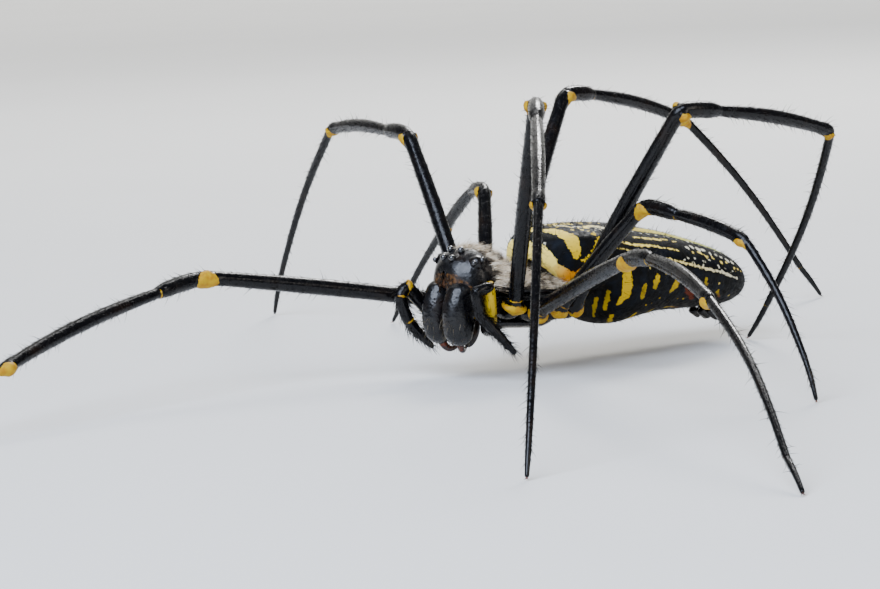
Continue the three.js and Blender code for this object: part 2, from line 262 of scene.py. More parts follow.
def merged(name: str, parts: Sequence[Object]) -> Object:
    """Joins objects that share their attributes into one.

    Args:
        name: Name of the joined piece.
        parts: The objects, the first of which takes in the others.

    Returns:
        The joined object.
    """
    with bpy.context.temp_override(active_object=parts[0], selected_editable_objects=list(parts)):
        bpy.ops.object.join()
    parts[0].name = name
    parts[0].data.name = name
    return parts[0]


@dataclass(frozen=True)
class BodyFrame:
    """Where the body stands in the row's frame."""

    at: Triple = (15.7, 11.7, 7.6)
    heading: float = 218.0
    pitch: float = 6.0

    @property
    def axes(self) -> Points:
        """Forward, left and up, one a row.

        Returns:
            Three directions in the row's frame.
        """
        h, p = math.radians(self.heading), math.radians(self.pitch)
        forward = np.array([math.cos(h) * math.cos(p), math.sin(h) * math.cos(p), math.sin(p)])
        left = np.array([-math.sin(h), math.cos(h), 0.0])
        return np.stack([forward, left, np.cross(forward, left)])

    def place(self, points: Any) -> Points:
        """Points of the body's frame in the row's frame."""
        return np.asarray(points, float) @ self.axes + np.array(self.at)

    def turn(self, vectors: Any) -> Points:
        """Directions of the body's frame in the row's frame."""
        return np.asarray(vectors, float) @ self.axes


BODY = BodyFrame()


# Finishes


def layered(tree: Tree, colour: Any, *layers: tuple[Any, Any]) -> Any:
    """Colour with others laid over it.

    Args:
        tree: The material's tree.
        colour: Hex code or socket of the ground.
        layers: Share of each layer, and its hex code or socket.

    Returns:
        Socket of the whole.
    """
    for share, over in layers:
        under, over = (to_linear(c) if isinstance(c, str) else c for c in (colour, over))
        colour = add_node(tree, "ShaderNodeMix", {0: share, 6: under, 7: over}, data_type="RGBA").outputs[2]
    return colour


@dataclass(frozen=True)
class Clouds:
    """Cloud pattern over the object.

    size is the width of its patches in millimetres, and detail the number of finer layers. Its
    values lie about 0.5, and those from low to high are moved smoothly into start to end.
    """

    size: float
    low: float = 0.0
    high: float = 1.0
    start: float = 0.0
    end: float = 1.0
    detail: float = 3.0

    def plain(self, tree: Tree) -> Any:
        """Socket of the pattern before the move."""
        return add_node(tree, "ShaderNodeTexNoise", {
            "Vector": add_node(tree, "ShaderNodeTexCoord").outputs["Object"],
            "Scale": 1 / (self.size * MM), "Detail": self.detail}).outputs["Fac"]

    def moved(self, tree: Tree) -> Any:
        """Socket of the pattern after the move."""
        return add_node(tree, "ShaderNodeMapRange", {
            0: self.plain(tree), 1: self.low, 2: self.high, 3: self.start, 4: self.end,
        }, interpolation_type="SMOOTHSTEP").outputs[0]


@dataclass(frozen=True)
class Edge:
    """Inside of the outline that a surface's attribute gives, made ragged by clouds.

    Where the attribute goes from low to high, the share of the inside goes from 0 to 1.
    """

    name: str
    low: float
    high: float
    ragged: Clouds | None = None

    def share(self, tree: Tree) -> Any:
        """Socket of the share.

        Args:
            tree: The material's tree.

        Returns:
            The socket.
        """
        value = add_node(tree, "ShaderNodeAttribute", attribute_name=self.name).outputs["Fac"]
        if self.ragged:
            value = add_node(tree, "ShaderNodeMath", {
                0: value, 1: self.ragged.moved(tree)}, operation="ADD").outputs[0]
        return add_node(tree, "ShaderNodeMapRange", {
            0: value, 1: self.low, 2: self.high}, interpolation_type="SMOOTHSTEP").outputs[0]


def grained(tree: Tree, cell: float, slow: float, feature: str = "F1") -> Any:
    """Height of grains over slower dents.

    Args:
        tree: The material's tree.
        cell: Width of the grains in millimetres.
        slow: Width of the dents.
        feature: How the grains meet, as the cell pattern names it.

    Returns:
        The height's socket.
    """
    grains = add_node(tree, "ShaderNodeTexVoronoi", {
        "Vector": add_node(tree, "ShaderNodeTexCoord").outputs["Object"], "Scale": 1 / (cell * MM),
    }, feature=feature).outputs["Distance"]
    dents = Clouds(slow).plain(tree)
    return add_node(tree, "ShaderNodeMath", {0: grains, 1: dents}, operation="ADD").outputs[0]


@dataclass(frozen=True)
class Finish:
    """A material: its name, roughness and reflection, and its relief's depth in millimetres.

    Where ior or shine is None, the shader keeps its own.
    """

    name: str
    roughness: float = 0.4
    ior: float | None = None
    shine: float | None = None
    depth: float = 0.01
    strength: float = 0.5

    def colour(self, tree: Tree) -> Any:
        """Socket of the base colour."""
        raise NotImplementedError

    def rough(self, tree: Tree) -> Any:
        """Socket or value of the roughness."""
        return self.roughness

    def height(self, tree: Tree) -> Any:
        """Socket of the relief's height, or None."""
        return None

    def values(self, tree: Tree) -> dict[str, Any]:
        """The shader's inputs.

        Args:
            tree: The material's tree.

        Returns:
            Input's name to its socket or value.
        """
        height = self.height(tree)
        normal = None if height is None else add_node(tree, "ShaderNodeBump", {
            "Height": height, "Distance": self.depth * MM, "Strength": self.strength}).outputs["Normal"]
        return {"Base Color": self.colour(tree), "Roughness": self.rough(tree), "Normal": normal,
                "IOR": self.ior, "Specular IOR Level": self.shine}

    def material(self) -> bpy.types.Material:
        """The material, built when it is first asked for.

        Returns:
            The material.
        """
        made = bpy.data.materials.get(self.name)
        if made:
            return made
        made = bpy.data.materials.new(self.name)
        made.use_nodes = True
        tree = made.node_tree
        inputs = tree.nodes["Principled BSDF"].inputs
        for key, value in self.values(tree).items():
            if isinstance(value, bpy.types.NodeSocket):
                tree.links.new(value, inputs[key])
            elif value is not None:
                inputs[key].default_value = value
        return made


@dataclass(frozen=True)
class Cuticle(Finish):
    """Sclerotised chitin, tanned black: hard, polished by its wax layer, faintly brown where thin."""

    ior: float | None = 1.56
    shine: float | None = 0.32          # the granules break the reflection
    depth: float = 0.02
    strength: float = 0.6
    dark: str = "#050507"
    brown: str = "#150d09"
    grain: float = 0.22                 # width of the granules; the real ones are too fine to be seen

    def colour(self, tree: Tree) -> Any:
        """Black with brown clouds."""
        return layered(tree, self.dark, (Clouds(2.5, 0.5, 0.8).moved(tree), self.brown))

    def rough(self, tree: Tree) -> Any:
        """Glossier and duller patches."""
        return Clouds(0.6, 0.3, 0.7, self.roughness - 0.07, self.roughness + 0.12).moved(tree)

    def height(self, tree: Tree) -> Any:
        """Fine granules over slow dents."""
        return grained(tree, self.grain, self.grain * 5)


@dataclass(frozen=True)
class ShieldCuticle(Cuticle):
    """The same chitin, thin and brown at the margin of the face where the attribute says."""

    thin: str = "#180c05"
    thinnest: str = "#4c3218"

    def colour(self, tree: Tree) -> Any:
        """Black, ragged brown at the margin.

        Args:
            tree: The material's tree.

        Returns:
            Socket of the colour.
        """
        brown = layered(tree, self.thin, (Clouds(0.35, 0.45, 0.62, detail=4.0).moved(tree), self.thinnest))
        margin = Edge("margin", 0.45, 0.75, Clouds(0.5, 0.3, 0.7, -0.4, 0.4, 4.0)).share(tree)
        return layered(tree, super().colour(tree), (margin, brown))


@dataclass(frozen=True)
class LimbCuticle(Cuticle):
    """The same chitin with the soft skin of the joints, golden yellow, where the attribute says."""

    soft: str = "#b08c00"
    soft_deep: str = "#a07000"
    painted: str = "#b09200"
    soft_roughness: float = 0.6

    def colour(self, tree: Tree) -> Any:
        """Black, golden in the joints and where the surface is painted.

        Args:
            tree: The material's tree.

        Returns:
            Socket of the colour.
        """
        golden = layered(tree, self.soft, (Clouds(0.5, 0.35, 0.7).moved(tree), self.soft_deep))
        paint = Edge("paint", 0.4, 0.6).share(tree)
        joint = Edge("soft", -0.03, 0.04, Clouds(0.25, 0.3, 0.7, -0.05, 0.05)).share(tree)
        return layered(tree, super().colour(tree), (paint, self.painted), (joint, golden))

    def rough(self, tree: Tree) -> Any:
        """Soft skin is duller than the hard tube."""
        return add_node(tree, "ShaderNodeMix", {
            0: Edge("soft", 0.0, 0.1).share(tree), 2: super().rough(tree), 3: self.soft_roughness,
        }, data_type="FLOAT").outputs[0]


@dataclass(frozen=True)
class Velvet(Finish):
    """Abdomen skin: soft black chitin under a nap of fine hair, with spots of pigment."""

    shine: float | None = 0.07          # the nap swallows part of the reflection
    depth: float = 0.05
    strength: float = 0.7
    dark: str = "#060606"
    # painted glint: faint blue laid in clouds over the black
    blue: str = "#0b1018"
    stain: str = "#5a3c12"

    def colour(self, tree: Tree) -> Any:
        """Spots with ragged edges over black, which carries a painted faint blue glint in clouds.

        Args:
            tree: The material's tree.

        Returns:
            Socket of the colour.
        """
        tone = add_node(tree, "ShaderNodeAttribute", attribute_name="tone").outputs["Color"]
        stained = layered(tree, tone, (Clouds(0.45, 0.52, 0.75, 0.0, 0.45, 4.0).moved(tree), self.stain))
        spot = Edge("spot", -0.03, 0.06, Clouds(0.32, 0.25, 0.75, -0.13, 0.13, 4.0)).share(tree)
        return layered(tree, self.dark, (Clouds(1.2, 0.4, 0.7).moved(tree), self.blue), (spot, stained))

    def rough(self, tree: Tree) -> Any:
        """Satin in patches."""
        return Clouds(0.5, 0.3, 0.7, self.roughness - 0.1, self.roughness + 0.12).moved(tree)

    def height(self, tree: Tree) -> Any:
        """Fine creases of a full, soft skin."""
        return grained(tree, 0.4, 0.15, "SMOOTH_F1")


@dataclass(frozen=True)
class Hair(Finish):
    """Chitin hair, each one its own shade, in slow patches."""

    shine: float | None = 0.3           # hairs shade each other's reflections
    light: str = "#efe4cb"
    dark: str = "#a58e6a"
    patch: str = "#8a7658"
    patch_size: float = 0.8

    def colour(self, tree: Tree) -> Any:
        """Shade of the single hair under the patches.

        Args:
            tree: The material's tree.

        Returns:
            Socket of the colour.
        """
        shade = add_node(tree, "ShaderNodeAttribute", attribute_name="shade").outputs["Fac"]
        patches = Clouds(self.patch_size, 0.48, 0.58, 0.0, 0.9, 6.0).moved(tree)
        return layered(tree, self.dark, (shade, self.light), (patches, self.patch))


@dataclass(frozen=True)
class Horn(Finish):
    """Thick tanned chitin of fangs and claws: dark red-brown, polished."""

    dark: str = "#1c0a05"
    warm: str = "#6b2a10"

    def colour(self, tree: Tree) -> Any:
        """Red-brown clouds."""
        return layered(tree, self.dark, (Clouds(0.8, 0.35, 0.7).moved(tree), self.warm))

    def height(self, tree: Tree) -> Any:
        """Fine unevenness of growth."""
        return Clouds(0.12).plain(tree)


@dataclass(frozen=True)
class Lens(Finish):
    """Eye lens: a clear bead of chitin over a black cup, wet-looking and without grain."""

    dark: str = "#050507"
    # painted glint: grey laid in clouds over the black lens
    painted_glint: str = "#17181c"

    def colour(self, tree: Tree) -> Any:
        """Black with a painted grey glint in clouds."""
        return layered(tree, self.dark, (Clouds(0.4, 0.4, 0.8).moved(tree), self.painted_glint))

    def values(self, tree: Tree) -> dict[str, Any]:
        """The shader's inputs, with a clear skin over the cup."""
        return {**super().values(tree), "Coat Weight": 1.0, "Coat Roughness": 0.02}


@dataclass(frozen=True)
class Paper(Finish):
    """Studio floor: matt coated paper board, off-white."""

    light: str = "#d9d8d4"
    shade: str = "#d3d2ce"

    def colour(self, tree: Tree) -> Any:
        """Nearly even off-white."""
        return layered(tree, self.light, (Clouds(60.0).plain(tree), self.shade))


# polished black chitin of the shield, the sternum and the spinnerets
CUTICLE = ShieldCuticle("tanned_chitin_polished", 0.25, grain=0.3, depth=0.022, shine=0.34)
# legs and palps: polished black tubes with soft golden joints
LIMB = LimbCuticle("tanned_chitin_limb", 0.19, grain=0.3, depth=0.022, shine=0.2)
# the abdomen's soft skin
VELVET = Velvet("pigmented_soft_chitin", 0.55)
# silver-beige down of the carapace, dark brown in patches
DOWN = Hair("silver_beige_down", 0.6, light="#f4e8d0", dark="#b39c78", patch="#2e2012", patch_size=1.1)
# fine nap of the abdomen, nearly black
NAP = Hair("dark_nap", 0.5, light="#14110e", dark="#040404", patch="#060505", shine=0.06)
# stiff black hairs of the limbs and the abdomen
BRISTLE = Hair("black_bristle", 0.4, light="#16130f", dark="#040404", patch="#070605", shine=0.08)
# stiff hairs of the jaws, from black to grey-brown
JAW_HAIR = Hair("jaw_bristle", 0.4, light="#6a5f4a", dark="#060606", patch="#060605", shine=0.2)
# thin brown skin of the face below the eyes
MEMBRANE = Cuticle("face_membrane", 0.5, dark="#3a200c", brown="#74501e", shine=0.3)
# dull black chitin round the eyes
COLLAR = Cuticle("eye_collar_chitin", 0.55, shine=0.15)
# lip and mouth lobes: thinner chitin, red-brown in patches
MOUTH = Cuticle("mouthpart_chitin", 0.35, dark="#120b08", brown="#6e3712", shine=0.3)
# the jaws' thick black chitin, more coarsely grained
JAW = Cuticle("tanned_chitin_jaw", 0.24, grain=0.34, depth=0.05, shine=0.32)
# fangs and claws
HORN = Horn("fang_chitin", 0.22)
LENS = Lens("eye_lens_chitin", 0.05)
PAPER = Paper("matt_board", 0.8)


def finished(piece: Object, finish: Finish, nodes: Iterable[str] = ()) -> None:
    """Gives a piece its material and body, and hides the nodes that it stands for.

    Args:
        piece: The piece, in place.
        finish: Its finish.
        nodes: Nodes that it replaces.
    """
    piece.data.materials.clear()
    piece.data.materials.append(finish.material())
    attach(piece, ROOT)
    if nodes:
        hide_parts(*nodes)
    LOG.info("%s: %d triangles", piece.name, sum(face.loop_total - 2 for face in piece.data.polygons))


# Coats of hair


@dataclass(frozen=True)
class Coat:
    """Hairs rooted in a skin, each a bent three-sided cone.

    The skin's attributes steer them: coat, the share of the density, and lay, the way they lie.
    rise is how far they stand up from it, curl the bend at the tip as a share of the length, and
    scatter how far they stray.
    """

    per_mm2: float
    shortest: float
    longest: float
    radius: float
    rise: float = 0.4
    curl: float = 0.3
    scatter: float = 0.2
    seed: int = 1
    patch: ClassVar[float] = 0.003      # side of one hair's place on the skin's unwrap
    kinds: ClassVar[dict[str, str]] = {"Skin": "Geometry", "Seed": "Int", "Finish": "Material"}
    inputs: ClassVar[tuple[str, ...]] = (
        "Density", "Shortest", "Longest", "Slimness", "Rise", "Curl", "Scatter", "Seed", "Finish")
    spare: ClassVar[tuple[str, ...]] = (
        "skin_uv", "hair_uv", "coat", "lay", "soft", "paint", "spot", "tone", "margin", "material_index")

    @classmethod
    def tree(cls) -> Tree:
        """Node tree that all coats share.

        Returns:
            The tree.
        """
        found = bpy.data.node_groups.get("coat_of_hair")
        if found:
            return found
        tree = bpy.data.node_groups.new("coat_of_hair", "GeometryNodeTree")
        for name in ("Skin", *cls.inputs):
            kind = "NodeSocket" + cls.kinds.get(name, "Float")
            tree.interface.new_socket(name, in_out="INPUT", socket_type=kind)
        tree.interface.new_socket("Hairs", in_out="OUTPUT", socket_type="NodeSocketGeometry")
        node = partial(add_node, tree)
        given = node("NodeGroupInput").outputs
        coat, lay, skin_uv, hair_uv = (
            node("GeometryNodeInputNamedAttribute", {"Name": name}, data_type=kind).outputs[0]
            for name, kind in zip(("coat", "lay", "skin_uv", "hair_uv"), ("FLOAT", *["FLOAT_VECTOR"] * 3)))
        density, flatness = (
            node("ShaderNodeMath", {0: first, 1: second}, operation=kind).outputs[0]
            for first, second, kind in ((given["Density"], coat, "MULTIPLY"), (1.0, given["Rise"], "SUBTRACT")))
        roots = node("GeometryNodeDistributePointsOnFaces", {
            "Mesh": given["Skin"], "Density": density, "Seed": given["Seed"]}).outputs
        # the random draws: which way a hair strays, its length, and its shade
        seeds = [node("ShaderNodeMath", {0: given["Seed"], 1: draw}, operation="ADD").outputs[0]
                 for draw in (1, 2, 3)]
        stray = node("FunctionNodeRandomValue", {
            0: (-1, -1, -1), 1: (1, 1, 1), "Seed": seeds[0]}, data_type="FLOAT_VECTOR").outputs[0]
        length, shade = (
            node("FunctionNodeRandomValue", {2: low, 3: high, "Seed": seed}, data_type="FLOAT").outputs[1]
            for low, high, seed in ((given["Shortest"], given["Longest"], seeds[1]), (0.0, 1.0, seeds[2])))
        # the way it grows, and how it is turned to that
        flat, standing, strayed, patch = (
            node("ShaderNodeVectorMath", {0: way, "Scale": share}, operation="SCALE").outputs[0]
            for way, share in ((lay, flatness), (roots["Normal"], given["Rise"]), (stray, given["Scatter"]),
                               (hair_uv, cls.patch)))
        way = flat
        for part in (standing, strayed):
            way = node("ShaderNodeVectorMath", {0: way, 1: part}, operation="ADD").outputs[0]
        place = node("ShaderNodeVectorMath", {0: skin_uv, 1: patch}, operation="ADD").outputs[0]
        upright = node("FunctionNodeAlignRotationToVector", {"Vector": way}, axis="Z").outputs[0]
        turned = node("FunctionNodeAlignRotationToVector", {
            "Rotation": upright, "Vector": lay}, axis="X", pivot_axis="Z").outputs[0]
        # one hair, bent by the square of its height
        cone = node("GeometryNodeMeshCone", {
            "Vertices": 3, "Side Segments": 2, "Radius Top": 0.0, "Radius Bottom": given["Slimness"],
            "Depth": 1.0}).outputs
        at = node("GeometryNodeInputPosition").outputs[0]
        bend = node("ShaderNodeSeparateXYZ", {0: at}).outputs["Z"]
        for kind, second in (("POWER", 2.0), ("MULTIPLY", given["Curl"])):
            bend = node("ShaderNodeMath", {0: bend, 1: second}, operation=kind).outputs[0]
        bent = node("GeometryNodeSetPosition", {
            "Geometry": cone["Mesh"], "Offset": node("ShaderNodeCombineXYZ", {0: bend}).outputs[0]})
        marked = node("GeometryNodeStoreNamedAttribute", {
            "Geometry": bent.outputs[0], "Name": "hair_uv", "Value": cone["UV Map"],
        }, data_type="FLOAT2", domain="CORNER")
        shaded = node("GeometryNodeStoreNamedAttribute", {
            "Geometry": roots["Points"], "Name": "shade", "Value": shade}, data_type="FLOAT", domain="POINT")
        planted = node("GeometryNodeInstanceOnPoints", {
            "Points": shaded.outputs[0], "Instance": marked.outputs[0], "Rotation": turned, "Scale": length})
        real = node("GeometryNodeRealizeInstances", {"Geometry": planted.outputs[0]})
        unwrapped = node("GeometryNodeStoreNamedAttribute", {
            "Geometry": real.outputs[0], "Name": "OFBake", "Value": place,
        }, data_type="FLOAT2", domain="CORNER")
        dressed = node("GeometryNodeSetMaterial", {
            "Geometry": unwrapped.outputs[0], "Material": given["Finish"]})
        node("NodeGroupOutput", {0: dressed.outputs[0]})
        return tree

    def grow(self, name: str, base: Object, finish: Finish, slot: str) -> None:
        """Grows the coat on a skin as a piece of its own.

        Args:
            name: Name of the new piece.
            base: The skin, with the attributes coat, lay and skin_uv.
            finish: Finish of the hairs.
            slot: Not used.
        """
        carrier = placed(name + "_roots", base.data.copy())
        modifier = carrier.modifiers.new("coat", "NODES")
        modifier.node_group = self.tree()
        slimness = 2 * self.radius / (self.shortest + self.longest)
        values = dict(zip(self.inputs, (
            self.per_mm2 / MM ** 2, self.shortest * MM, self.longest * MM, slimness,
            self.rise, self.curl, self.scatter, self.seed, finish.material())))
        for socket in modifier.node_group.interface.items_tree:
            if socket.name in values:
                modifier[socket.identifier] = values[socket.name]
        bpy.context.view_layer.update()
        mesh = bpy.data.meshes.new_from_object(carrier.evaluated_get(bpy.context.evaluated_depsgraph_get()))
        bpy.data.objects.remove(carrier)
        for spare in self.spare:
            if spare in mesh.attributes:
                mesh.attributes.remove(mesh.attributes[spare])
        mesh.name = name
        finished(placed(name, mesh), finish)


# Limbs


@dataclass(frozen=True)
class Article:
    """One rigid tube of a limb, and the soft skin at its far joint.

    radii are half depths at the near end, middle and far end, and bow is the middle's rise as a
    share of the length. soft gives how far the joint's soft skin runs back over this article and
    on over the next, measured underneath. hairy is the share of the coat that it carries, knob the
    swelling before its far joint, and paint is 1 where its back is yellow.
    """

    radii: Triple
    bow: float = 0.0
    soft: tuple[float, float] = (0.0, 0.0)
    hairy: float = 1.0
    knob: float = 0.0
    paint: float = 0.0


@dataclass
class Limb:
    """A jointed limb under one skin, hard on its articles and soft at its joints.

    The heights of swellings, lips and folds are shares of the radius.
    """

    name: str
    joints: Points
    backs: Points
    articles: Sequence[Article]
    sides: int = 20
    thick: float = 1.0
    round_over: float = 0.8             # half length of the bend at a joint
    broad: float = 0.95                 # width against depth
    step: float = 0.04                  # spacing of the points that give the centre line
    even_over: int = 9                  # number of these points over which the thickness evens out
    ring_spacing: float = 0.4
    near_joint: tuple[float, float] = (2.4, 0.08)           # reach and spacing of the closer rings there
    near_start: tuple[float, ...] = (0.005, 0.03, 0.08, 0.16, 0.28)
    near_end: tuple[float, ...] = (0.005, 0.02, 0.05, 0.1, 0.2)
    closest: float = 0.004              # least distance between rings
    knob_at: float = 1.0                # distance of the knob from its joint
    knob_reach: float = 0.7
    soft_from: float = 0.1              # how far up a straight joint's sides the soft skin reaches
    soft_per_bend: float = 0.5          # how much farther up at a right angle
    soft_ends: float = 0.12             # how far the hard edges close over the soft skin's upper ends
    swell_under: float = 0.7
    swell_beside: tuple[float, float] = (0.12, 0.7)         # at a straight joint, and more at a right angle
    lip: float = 0.05                   # the hard edge round the soft skin
    lip_reach: float = 0.1
    fold: float = 0.015
    fold_spacing: float = 0.22
    bald: tuple[float, float] = (1.0, 1.8)                  # heights between which the coat starts

    @property
    def runs(self) -> Points:
        """Steps from joint to joint."""
        return np.diff(self.joints, axis=0)

    @property
    def lengths(self) -> Points:
        """Lengths of the articles."""
        return np.linalg.norm(self.runs, axis=1)

    @property
    def starts(self) -> Points:
        """Places of the joints along the limb."""
        return np.concatenate([[0], np.cumsum(self.lengths)])

    def article_at(self, along: Points) -> Points:
        """Numbers of the articles at places along the limb."""
        return np.clip(np.searchsorted(self.starts, along, "right") - 1, 0, len(self.articles) - 1)

    def of_articles(self, value: str, which: Points) -> Points:
        """A value of the articles with the given numbers."""
        return np.array([getattr(article, value) for article in self.articles])[which]

    def stations(self) -> Points:
        """Places of the rings along the limb, closer together at joints and ends.

        Returns:
            The places, from the root on.
        """
        end = self.starts[-1]
        reach, spacing = self.near_joint
        marks = [np.arange(0, end, self.ring_spacing), np.array(self.near_start)]
        marks += [end - np.array(self.near_end)]
        marks += [np.arange(-reach, reach, spacing) + start for start in self.starts[1:-1]]
        found = np.sort(np.concatenate(marks))
        found = found[(found >= self.closest) & (found <= end - self.closest)]
        return found[np.concatenate([[True], np.diff(found) > self.closest])]

    def course(self, along: Points) -> tuple[Points, Points, Points]:
        """Course of the limb, rounded over at its joints.

        Args:
            along: Places along the limb.

        Returns:
            The centre, the direction of the back, and the half depth at each place.
        """
        window = int(round(self.round_over / self.step))
        fine = np.arange(-window, int(self.starts[-1] / self.step) + window + 1) * self.step
        piece = self.article_at(fine)
        local, length = fine - self.starts[piece], self.lengths[piece]
        share = np.clip(local / length, 0, 1)
        bow = self.of_articles("bow", piece) * length * np.sin(np.pi * share)
        line = self.joints[piece] + unit(self.runs)[piece] * local[:, None] + self.backs[piece] * bow[:, None]
        radius = np.array([through(self.articles[p].radii, s) for p, s in zip(piece, share)])
        from_knob = length - local - self.knob_at
        radius += self.of_articles("knob", piece) * np.exp(-(from_knob / self.knob_reach) ** 2)
        even, blur = (np.ones(count) / count for count in (self.even_over, 2 * window + 1))
        radius = np.convolve(radius, even, "same")[window:-window] * self.thick
        columns = [np.convolve(c, blur, "valid") for c in (*line.T, *self.backs[piece].T)]
        found = np.stack([np.interp(along, fine[window:-window], c) for c in (*columns, radius)], 1)
        return found[:, :3], found[:, 3:6], found[:, 6]

    def membranes(self, along: Points) -> tuple[Points, Points]:
        """Soft skin of the joints, widest underneath.

        Args:
            along: Places of the rings along the limb.

        Returns:
            By ring and side, how far inside the soft skin a point is, negative outside it, and how
            much the skin swells there.
        """
        soft = np.full((len(along), self.sides), -1.0)
        swell = np.zeros((len(along), self.sides))
        turn = around(self.sides)
        beside = np.sin(turn)[None] ** 2
        ways = unit(self.runs)
        for i, article in enumerate(self.articles[:-1]):
            if sum(article.soft) == 0:
                continue
            bend = math.acos(np.clip(ways[i] @ ways[i + 1], -1, 1)) / (math.pi / 2)
            top = self.soft_from + self.soft_per_bend * bend
            under = np.clip((top - np.cos(turn)) / (1 + top), 0, 1)[None] ** 0.5
            start, ends = self.starts[i + 1], self.soft_ends * (1 - under)
            from_back = along[:, None] - (start - article.soft[0] * under) - ends
            from_front = (start + article.soft[1] * under) - along[:, None] - ends
            edge = np.minimum(from_back, from_front)
            share = np.clip(from_back / (from_back + from_front + 1e-9), 0, 1)
            lift = under ** 2 * self.swell_under * max(0.15, 1 - 1.1 * bend)
            lift = lift + beside * (self.swell_beside[0] + self.swell_beside[1] * bend)
            lift = lift * min(1.0, sum(article.soft))
            swell += np.where(edge > 0, np.sin(np.pi * share) ** 0.8 * lift, 0)
            soft = np.maximum(soft, edge)
        return soft, swell

    def skin(self) -> Object:
        """Builds the skin with its attributes: soft, coat, lay and paint.

        Returns:
            The skin.
        """
        along = self.stations()
        centre, back, radius = self.course(along)
        travel = unit(np.gradient(centre, along, axis=0))
        soft, swell = self.membranes(along)
        lip = self.lip * np.exp(-((soft + self.lip_reach) / self.lip_reach) ** 2)
        fold = self.fold * np.sin(along * 2 * math.pi / self.fold_spacing)[:, None] * (soft > 0.05)
        from_end = np.minimum(along, along[-1] - along) / radius
        cap = np.sqrt(np.clip(1 - np.clip(1 - from_end, 0, 1) ** 2, 0.02, 1))
        depth = (radius * cap)[:, None] * (1 + lip + swell + fold)
        rings = ring(centre, travel, back, depth, depth * self.broad, self.sides)
        rings[..., 2] = np.maximum(rings[..., 2], 0)
        which = self.article_at(along)
        before, after = along - self.starts[which], self.starts[which + 1] - along
        paint = self.of_articles("paint", which) * smoothstep(0.1, 0.8, before) * smoothstep(0.0, 0.3, after)
        coat = self.of_articles("hairy", which)[:, None] * smoothstep(0.05, 0.3, -soft)
        return skin(self.name, rings, {
            "soft": np.clip(soft, -1, 1), "coat": coat * smoothstep(*self.bald, rings[..., 2]),
            "lay": np.repeat(travel[:, None], self.sides, 1),
            "paint": paint[:, None] * smoothstep(0.1, 0.45, np.cos(around(self.sides)))[None]})


@dataclass(frozen=True)
class Pair:
    """A pair of legs: its place under the body on the left side, and its articles' lengths."""

    root: Triple
    hip: Triple
    lengths: tuple[float, ...]
    thick: float = 1.0


@dataclass(frozen=True)
class Stance:
    """How one leg stands, as in the solids.

    swing is the leg's direction from the heading, lean the tilt of its own plane, rise the femur's
    slope, bends the turns at the patella, tibia and tarsus, and reach its length against its pair's.
    """

    swing: float
    lean: float
    rise: float
    bends: Triple
    reach: float = 1.0


